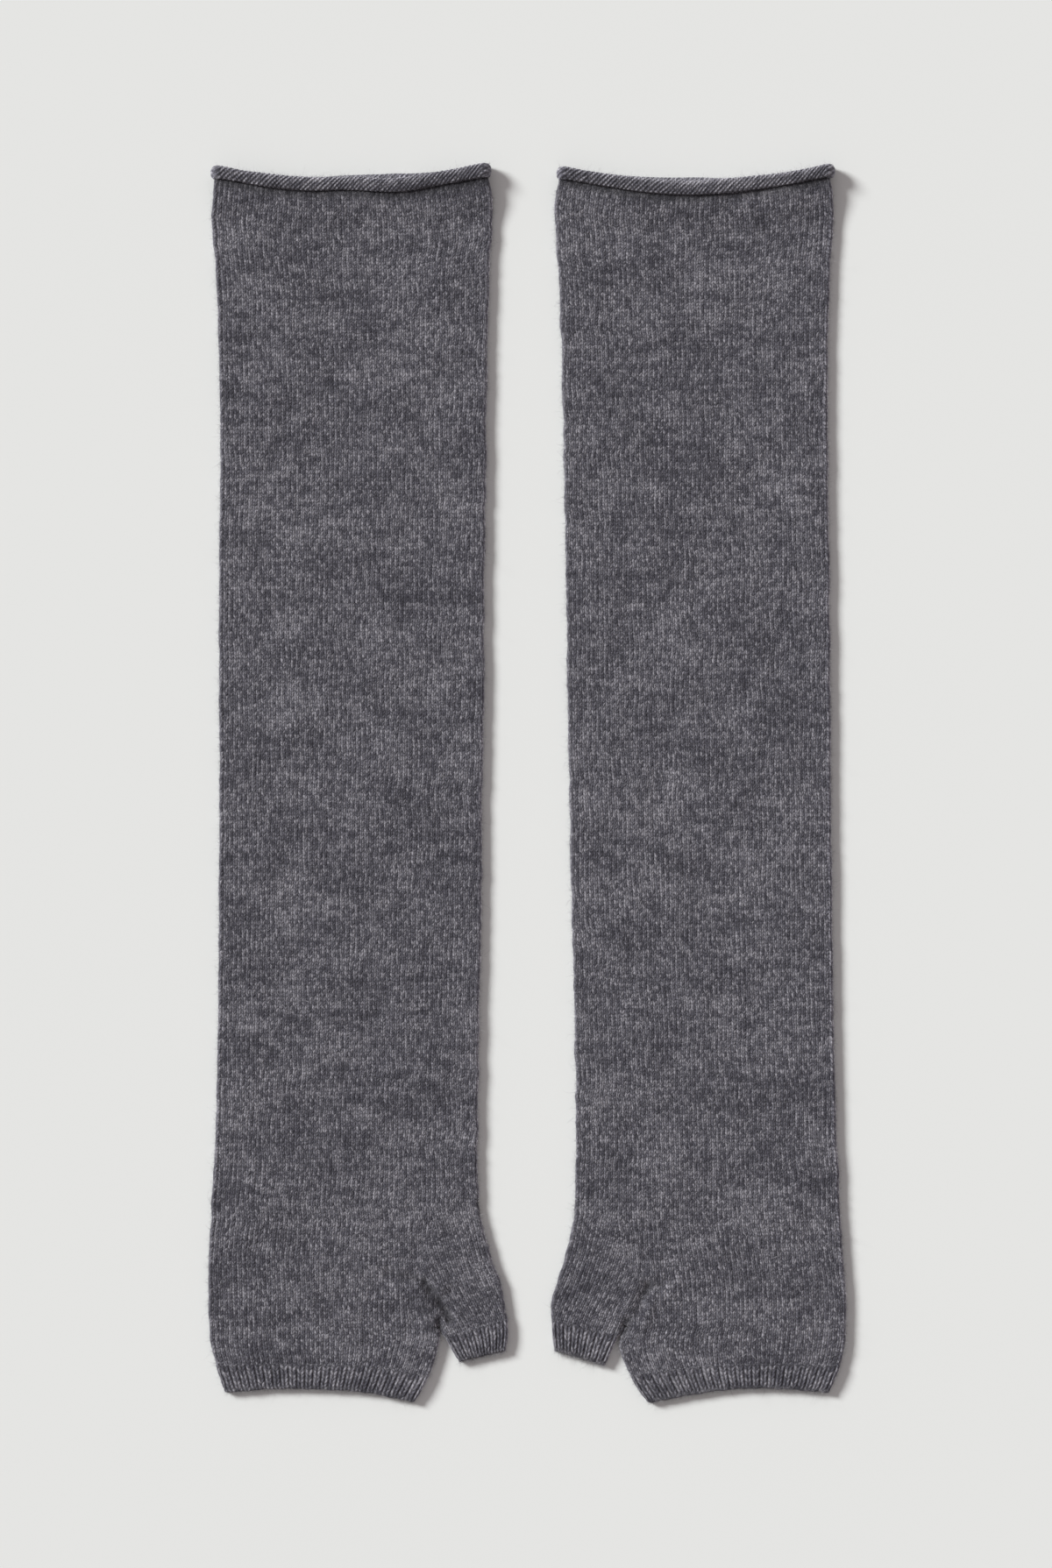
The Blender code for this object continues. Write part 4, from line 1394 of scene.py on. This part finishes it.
@dataclass(frozen=True)
class Wool:
    """A finish of the marled yarn: its colours, the painted shade and light on it, and how deep its stitches
    look.
    """

    dark: Colour = (0.0379, 0.0356, 0.0485, 1.0)
    middle: Colour = (0.1104, 0.1062, 0.128, 1.0)
    light: Colour = (0.298, 0.286, 0.317, 1.0)
    # Painted shade between the loops: how dark the low parts of the stitches are made.
    shade: float = 0.68
    wale_width: float = 1.85
    lean: float = 0.55
    split: float = 0.72
    stray: float = 0.9
    bump: float = 0.6
    bump_distance: float = 0.0005
    # The nap's lighter fibres: a tone of the yarn.
    haze_and_painted_rim_light: float = 0.65
    nap: float = 0.25
    ply_bump: float = 0.8
    # Painted light on the folds.
    painted_rim_light: float = 2.1
    # Painted shade in creases.
    painted_crease_shade: float = 0.42
    # Painted shade where the attribute is deepest: under the roll and in the deepest creases.
    shaded: float = 0.6
    purl: bool = False
    ribbed: bool = False


@dataclass(frozen=True)
class Marl:
    """How much each pattern sways the yarn's tone, and the sizes of the patterns."""

    cloud: float = 0.62
    cloud_scale: float = 62.0
    patch: float = 0.55
    patch_scale: float = 230.0
    dash: float = 0.3
    dash_scale: float = 130.0
    plies: float = 1.65
    loop: float = 0.6
    darkest: float = 0.12
    middle: float = 0.5
    lightest: float = 0.95


@dataclass(frozen=True)
class Signal:
    """A socket's value. Arithmetic on it adds math nodes to its tree."""

    nodes: "Nodes"
    socket: bpy.types.NodeSocket

    def __add__(self, other: object) -> "Signal":
        """The sum of both."""
        return self.nodes.math("ADD", self, other)

    def __sub__(self, other: object) -> "Signal":
        """This less the other."""
        return self.nodes.math("SUBTRACT", self, other)

    def __rsub__(self, other: object) -> "Signal":
        """The other less this."""
        return self.nodes.math("SUBTRACT", other, self)

    def __mul__(self, other: object) -> "Signal":
        """The product of both."""
        return self.nodes.math("MULTIPLY", self, other)

    def __pow__(self, other: object) -> "Signal":
        """This to the power of the other."""
        return self.nodes.math("POWER", self, other)

    def to(self, operation: str) -> "Signal":
        """The result of a math node that takes one value, such as its sine."""
        return self.nodes.math(operation, self)


class Nodes:
    """Short ways to add nodes to a tree and join them."""

    def __init__(self, tree: bpy.types.NodeTree) -> None:
        """Keeps the tree and the place of the next node."""
        self.tree = tree
        self.count = 0

    def add(self, kind: str, inputs: Inputs | None = None, **settings: object) -> bpy.types.Node:
        """A node of that kind, with its settings and its inputs' values, placed after the last."""
        node = self.tree.nodes.new(kind)
        node.location = (180 * (self.count % 12), -220 * (self.count // 12))
        self.count += 1
        for name, value in settings.items():
            setattr(node, name, value)
        self.fill(node, inputs or {})
        return node

    def fill(self, node: bpy.types.Node, inputs: Inputs) -> None:
        """Joins a node's inputs to signals, or sets plain values on them."""
        for label, value in inputs.items():
            if isinstance(value, Signal):
                self.tree.links.new(value.socket, node.inputs[label])
            else:
                node.inputs[label].default_value = value

    def read(self, kind: str, output: str | int, inputs: Inputs | None = None, **settings: object) -> Signal:
        """One output of a new node."""
        return Signal(self, self.add(kind, inputs, **settings).outputs[output])

    def math(self, operation: str, *values: object, clamp: bool = False) -> Signal:
        """The result of a math node."""
        return self.read("ShaderNodeMath", 0, dict(enumerate(values)), operation=operation, use_clamp=clamp)

    def join(self, x: object, y: object, z: object = 0.0) -> Signal:
        """A vector from three values."""
        return self.read("ShaderNodeCombineXYZ", 0, {0: x, 1: y, 2: z})

    def split(self, vector: Signal) -> list[Signal]:
        """The three values of a vector."""
        return [Signal(self, part) for part in self.add("ShaderNodeSeparateXYZ", {0: vector}).outputs]

    def noise(self, vector: Signal, scale: float, detail: float = 2.0, rough: float = 0.5) -> Signal:
        """Noise at a place, from 0 to 1."""
        inputs = {"Vector": vector, "Scale": scale, "Detail": detail, "Roughness": rough}
        return self.read("ShaderNodeTexNoise", "Fac", inputs)

    def spread(self, value: Signal, low: float, high: float, to_low: float = 0, to_high: float = 1) -> Signal:
        """A value's range stretched to another, held at its ends."""
        inputs = {"Value": value, "From Min": low, "From Max": high, "To Min": to_low, "To Max": to_high}
        return self.read("ShaderNodeMapRange", "Result", inputs)

    def mix(self, factor: object, first: object, second: object, blend: str = "MIX") -> Signal:
        """One colour blended over another."""
        inputs = {"Factor": factor, "A": first, "B": second}
        return self.read("ShaderNodeMix", "Result", inputs, data_type="RGBA", blend_type=blend)


FLOAT = "NodeSocketFloat"
VECTOR = "NodeSocketVector"
COLOUR = "NodeSocketColor"


def new_group(name: str, inputs: Inputs, outputs: tuple[str, ...]) -> tuple[Nodes, dict, bpy.types.Node]:
    """A shader node group with named sockets.

    Args:
        name: The group's name.
        inputs: For each input its default: none for a vector, a number, or a colour.
        outputs: The outputs' names. One that is named Colour is a colour, and the others are numbers.

    Returns:
        The group's nodes, its inputs as signals by name, and its output node.
    """
    tree = bpy.data.node_groups.new(name, "ShaderNodeTree")
    for label, value in inputs.items():
        kind = VECTOR if value is None else COLOUR if isinstance(value, tuple) else FLOAT
        socket = tree.interface.new_socket(label, in_out="INPUT", socket_type=kind)
        if value is not None:
            socket.default_value = value
    for label in outputs:
        kind = COLOUR if label == "Colour" else FLOAT
        tree.interface.new_socket(label, in_out="OUTPUT", socket_type=kind)
    nodes = Nodes(tree)
    entry = nodes.add("NodeGroupInput")
    given = {label: Signal(nodes, entry.outputs[label]) for label in inputs}
    return nodes, given, nodes.add("NodeGroupOutput")


def stitch_group() -> bpy.types.NodeTree:
    """The group that draws stocking stitch from wale and course numbers.

    Each wale has two legs that lean apart. A leg's height is a power of a sine across it, times a hump along
    it that follows its own lean, so that each pair of legs makes a V. Each column of legs starts a little
    higher or lower than the next. The plies are noise stretched along the leg's own slant.
    """
    sizes = {"Wale Width": Wool.wale_width, "Lean": Wool.lean, "Split": Wool.split, "Stray": Wool.stray}
    nodes, given, out = new_group("stocking_stitch", {"Stitches": None} | sizes, ("Height", "Loop", "Plies"))
    wale, course, _ = nodes.split(given["Stitches"])
    spot = nodes.join(wale * Wool.wale_width, course * CLOTH.course)
    half = wale * 2.0 + (nodes.noise(spot, 1.15, 1.0) - 0.5) * given["Stray"]
    across = half.to("FRACT")
    number = half.to("FLOOR")
    side = nodes.math("GREATER_THAN", wale.to("FRACT"), 0.5) * 2.0 - 1.0
    start = nodes.read("ShaderNodeTexWhiteNoise", "Value", {"W": number}, noise_dimensions="1D")
    uneven = nodes.noise(nodes.join(number * 3.1, course * 0.5), 1.0, 0.0)
    along = course - side * given["Lean"] * (across - 0.5) + (start * 0.22 + uneven * 0.5)
    hump = (along.to("FRACT") * math.pi).to("SINE")
    leg = (across * math.pi).to("SINE")
    height = (leg**1.1 * 0.7 + 0.3) * (1.0 - (1.0 - hump**0.8) * given["Split"])
    pair = nodes.join(number, along.to("FLOOR"))
    loop = nodes.read("ShaderNodeTexWhiteNoise", "Value", {"Vector": pair}, noise_dimensions="2D")
    x = wale * given["Wale Width"] * side
    y = course * CLOTH.course
    plies = nodes.noise(nodes.join((x - y) * 2.1, (x + y) * 0.8, side * 5.0), 1.0, 1.5, 0.45)
    nodes.fill(out, {"Height": height, "Loop": loop, "Plies": plies})
    return nodes.tree


def marl_group() -> bpy.types.NodeTree:
    """The group that mixes the yarn's colours.

    Long patches and single-course dashes are noises stretched along the courses. They are added to the plies
    and to each leg's own tone, and the sum picks a colour between the dark, middle and light fibres.
    """
    colours = {"Dark": Wool.dark, "Middle": Wool.middle, "Light": Wool.light}
    inputs = {"Stitches": None, "Place": None, "Loop": 0.5, "Plies": 0.5} | colours
    nodes, given, out = new_group("marled_yarn", inputs, ("Colour", "Tone"))
    row = nodes.split(given["Stitches"])[1].to("FLOOR")
    x, y, z = nodes.split(given["Place"])
    cloud = nodes.noise(nodes.join(x * 0.45, y, z), Marl.cloud_scale, 3.0, 0.55)
    patch = nodes.noise(nodes.join(x * 0.3, y, 3.0), Marl.patch_scale)
    dash = nodes.noise(nodes.join(x * Marl.dash_scale, row * 3.7, 9.0), 1.0, 1.5)
    tone = (cloud - 0.5) * Marl.cloud + (patch - 0.5) * Marl.patch + (dash - 0.5) * Marl.dash
    tone = tone + (given["Plies"] - 0.5) * Marl.plies + (given["Loop"] - 0.5) * Marl.loop
    tone = nodes.math("ADD", tone, 0.5, clamp=True)
    low = nodes.mix(nodes.spread(tone, Marl.darkest, Marl.middle), given["Dark"], given["Middle"])
    high = nodes.mix(nodes.spread(tone, Marl.middle, Marl.lightest), low, given["Light"])
    nodes.fill(out, {"Colour": high, "Tone": tone})
    return nodes.tree


def nap_group() -> bpy.types.NodeTree:
    """The group for the wool's nap: fine crossed fibres as noise stretched two ways, and the lighter tone
    they give.
    """
    nodes, given, out = new_group("wool_nap", {"Place": None}, ("Height", "Haze"))
    x, y, z = nodes.split(given["Place"])
    one = nodes.noise(nodes.join(x + y * 0.4, y * 0.25, z), 2600.0, 2.0, 0.6)
    two = nodes.noise(nodes.join(x * 0.25, y - x * 0.3, z), 2300.0, 2.0, 0.6)
    both = (one + two) * 0.5
    nodes.fill(out, {"Height": both, "Haze": nodes.spread(both, 0.5, 0.72)})
    return nodes.tree


def new_material(name: str) -> tuple[bpy.types.Material, Nodes, Signal]:
    """A material with its nodes, and the place of each point on the object."""
    material = bpy.data.materials.new(name)
    material.use_nodes = True
    nodes = Nodes(material.node_tree)
    return material, nodes, nodes.read("ShaderNodeTexCoord", "Object")


class Dyehouse:
    """Makes the finishes. Groups are built once and placed in each material with its own values."""

    def __init__(self) -> None:
        """Builds the shared groups."""
        self.groups = {"stitch": stitch_group(), "marl": marl_group(), "nap": nap_group()}

    def place(self, nodes: Nodes, name: str, inputs: dict[str, object]) -> dict[str, Signal]:
        """The outputs of one of the shared groups, placed in a material."""
        node = nodes.add("ShaderNodeGroup", node_tree=self.groups[name])
        nodes.fill(node, inputs)
        return {socket.name: Signal(nodes, socket) for socket in node.outputs}

    def knit(self, name: str, wool: Wool) -> bpy.types.Material:
        """A knitted finish: marled colour with painted shade between the loops and in creases, painted shadow
        under the roll and painted light on the folds, with stitches and nap as bump.

        Args:
            name: The material's name.
            wool: Its colours and stitches.

        Returns:
            The material.
        """
        material, nodes, place = new_material(name)
        stitches = nodes.read("ShaderNodeUVMap", 0, uv_map=STITCH_MAP)
        sizes = {"Wale Width": wool.wale_width, "Lean": wool.lean, "Split": wool.split, "Stray": wool.stray}
        stitch = self.place(nodes, "stitch", {"Stitches": stitches} | sizes)
        marled = {"Stitches": stitches, "Place": place, "Loop": stitch["Loop"], "Plies": stitch["Plies"]}
        colours = {"Dark": wool.dark, "Middle": wool.middle, "Light": wool.light}
        marl = self.place(nodes, "marl", marled | colours)
        nap = self.place(nodes, "nap", {"Place": place})
        height = stitch["Height"]
        if wool.ribbed:
            height = self.rib(nodes, stitches, height)
        if wool.purl:
            height = self.purl(nodes, stitches)
        # Painted shade and painted light from the pieces' attribute.
        painted_shade_level = nodes.read("ShaderNodeAttribute", "Fac", attribute_name=PAINTED_SHADE_AND_LIGHT)
        # Painted shade in creases: the stitch height, which sets both colour and bump, is lowered there.
        height = height * nodes.spread(painted_shade_level, 0.1, 0.9, 1.0, wool.painted_crease_shade)
        # Painted shade between the loops: the colour falls with the stitch height.
        lit = nodes.spread(height, 0.12, 0.95, 1.0 - wool.shade, 1.08)
        # Painted light on the folds, over the nap's tone.
        nap_and_painted_light = (nap["Haze"] * wool.haze_and_painted_rim_light + lit) * nodes.spread(painted_shade_level, -1.0, -0.1, 1.0 + wool.painted_rim_light, 1.0)
        # More painted shade under the roll and in the deepest creases.
        nap_and_painted_light = nap_and_painted_light * nodes.spread(painted_shade_level, 0.7, 1.4, 1.0, wool.shaded)
        relief = nap["Height"] * wool.nap + height + stitch["Plies"] * wool.ply_bump
        bump = {"Strength": wool.bump, "Distance": wool.bump_distance, "Height": relief}
        finish = {
            "Base Color": nodes.mix(1.0, marl["Colour"], nodes.join(nap_and_painted_light, nap_and_painted_light, nap_and_painted_light), "MULTIPLY"),
            "Normal": nodes.read("ShaderNodeBump", "Normal", bump),
            "Roughness": 0.9,
            "Specular IOR Level": 0.25,
            "Sheen Weight": 0.45,
            "Sheen Roughness": 0.55,
            "Sheen Tint": (0.75, 0.74, 0.78, 1.0),
        }
        nodes.fill(nodes.tree.nodes["Principled BSDF"], finish)
        return material

    def rib(self, nodes: Nodes, stitches: Signal, height: Signal) -> Signal:
        """Stitch height of the rib, which also sets its painted shade: lower towards the purl wales, less so
        at its start, and at the bead.
        """
        wale, course, _ = nodes.split(stitches)
        wave = (wale * math.pi).to("SINE").to("ABSOLUTE")
        start = nodes.spread(course, 3.9, RibCuff.courses, 0.0, 0.85)
        furrow = nodes.spread(wave, 0.1, 0.6, 0.42, 1.15)
        furrow = furrow + (0.95 - furrow) * start
        return height * furrow * nodes.spread(course, 0.55, 1.1, 0.6, 1.0)

    def purl(self, nodes: Nodes, stitches: Signal) -> Signal:
        """Stitch height of the rolled edge, which also sets its painted shade: slanting strands that others
        cross, as in its geometry.
        """
        wale, course, _ = nodes.split(stitches)
        strand = (wale * FULL_TURN).to("COSINE")
        other = ((wale + course * (2.0 * RolledEdge.twist)) * FULL_TURN).to("COSINE")
        half = 0.5 * RolledEdge.cross
        return nodes.spread((strand * 0.5 + 0.5) * (other * half + (1.0 - half)), 0.0, 0.85, 0.12, 1.3)

    def fibre(self, name: str) -> bpy.types.Material:
        """Loose wool: the yarn's lighter fibres, uneven from one to the next."""
        material, nodes, place = new_material(name)
        uneven = nodes.spread(nodes.noise(place, 900.0, 1.0), 0.35, 0.65)
        tint = nodes.mix(uneven, (0.27, 0.265, 0.285, 1.0), (0.58, 0.57, 0.59, 1.0))
        finish = {"Base Color": tint, "Roughness": 0.75, "Specular IOR Level": 0.3}
        nodes.fill(nodes.tree.nodes["Principled BSDF"], finish)
        return material

    def plain(self, name: str, colour: Colour, roughness: float) -> bpy.types.Material:
        """A plain matt finish with a faint mottle."""
        material, nodes, place = new_material(name)
        darker = tuple(part * 0.99 for part in colour[:3]) + (1.0,)
        tint = nodes.mix(nodes.noise(place, 7.0), darker, colour)
        finish = {"Base Color": tint, "Roughness": roughness, "Specular IOR Level": 0.1}
        nodes.fill(nodes.tree.nodes["Principled BSDF"], finish)
        return material


@dataclass
class Glove:
    """One glove: its five pieces of knitting and its loose fibres."""

    shape: GloveShape
    jersey: bpy.types.Material
    rolled: bpy.types.Material
    rib: bpy.types.Material
    fibre: bpy.types.Material

    def make(self, table: bpy.types.Object) -> list[bpy.types.Object]:
        """Builds all pieces of the glove."""
        Fuzz(self.shape, self.fibre).make()
        pieces = (
            ArmTube(self.shape, self.jersey),
            RolledEdge(self.shape, self.rolled),
            HandRib(self.shape, self.rib),
            ThumbTube(self.shape, self.jersey),
            ThumbRib(self.shape, self.rib),
        )
        return [piece.make(table) for piece in pieces]


@dataclass
class Studio:
    """Table, lights and camera."""

    dyehouse: Dyehouse
    frame_length: float = 0.6082
    lens: float = 135.0
    camera_shift: tuple[float, float] = (-0.0006, -0.0003)
    key_from: tuple[float, float, float] = (-0.855, 0.455, 0.54)
    key_strength: float = 4.12
    key_colour: tuple[float, float, float] = (0.968, 0.995, 0.985)
    key_spread: float = 17.0
    fill_strength: float = 0.31
    fill_colour: Colour = (1.068, 0.995, 1.0, 1.0)
    table_side: float = 6.0
    table_colour: Colour = (0.827, 0.8315, 0.82, 1.0)

    def table(self) -> bpy.types.Object:
        """A pale table top, larger than any view of it."""
        half = self.table_side / 2.0
        corners = [(-half, -half, 0.0), (half, -half, 0.0), (half, half, 0.0), (-half, half, 0.0)]
        mesh = bpy.data.meshes.new("table_top")
        mesh.from_pydata(corners, [], [(0, 1, 2, 3)])
        mesh.materials.append(self.dyehouse.plain("table_paint", self.table_colour, 0.8))
        top = bpy.data.objects.new("table_top", mesh)
        bpy.context.scene.collection.objects.link(top)
        return top

    def lights(self) -> None:
        """A soft key from the upper left and an even fill all round."""
        key = bpy.data.lights.new("key", "SUN")
        key.energy = self.key_strength
        key.angle = math.radians(self.key_spread)
        key.color = self.key_colour
        lamp = bpy.data.objects.new("key", key)
        x, y, z = self.key_from
        lamp.rotation_euler = (math.atan2(math.hypot(x, y), z), 0.0, math.atan2(x, -y))
        lamp.location = (x, y, z)
        bpy.context.scene.collection.objects.link(lamp)
        world = bpy.data.worlds.new("studio")
        world.use_nodes = True
        ground = world.node_tree.nodes["Background"]
        ground.inputs["Color"].default_value = self.fill_colour
        ground.inputs["Strength"].default_value = self.fill_strength
        bpy.context.scene.world = world

    def camera(self) -> None:
        """A camera straight above the pair that frames it as in the photograph."""
        data = bpy.data.cameras.new("camera")
        data.lens = self.lens
        camera = bpy.data.objects.new("camera", data)
        height = self.frame_length * self.lens / data.sensor_width
        camera.location = (*self.camera_shift, height)
        bpy.context.scene.collection.objects.link(camera)
        bpy.context.scene.camera = camera

    def make(self) -> bpy.types.Object:
        """Sets up everything round the gloves and returns the table."""
        self.lights()
        self.camera()
        bpy.context.scene.view_settings.view_transform = "Standard"
        return self.table()


def main() -> None:
    """Builds the studio and both gloves."""
    logging.basicConfig(level=logging.INFO, format="%(name)s: %(message)s")
    dyehouse = Dyehouse()
    table = Studio(dyehouse).make()
    jersey = dyehouse.knit("marled_jersey", Wool())
    rolled = dyehouse.knit("marled_rolled_edge", Wool(purl=True, shade=0.66))
    rib = dyehouse.knit("marled_rib", Wool(ribbed=True, wale_width=5.0, lean=0.8, split=0.8, stray=0.3))
    fibre = dyehouse.fibre("loose_fibre")
    for shape in (LEFT, RIGHT):
        Glove(shape, jersey, rolled, rib, fibre).make(table)
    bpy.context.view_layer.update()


if __name__ == "__main__":
    main()
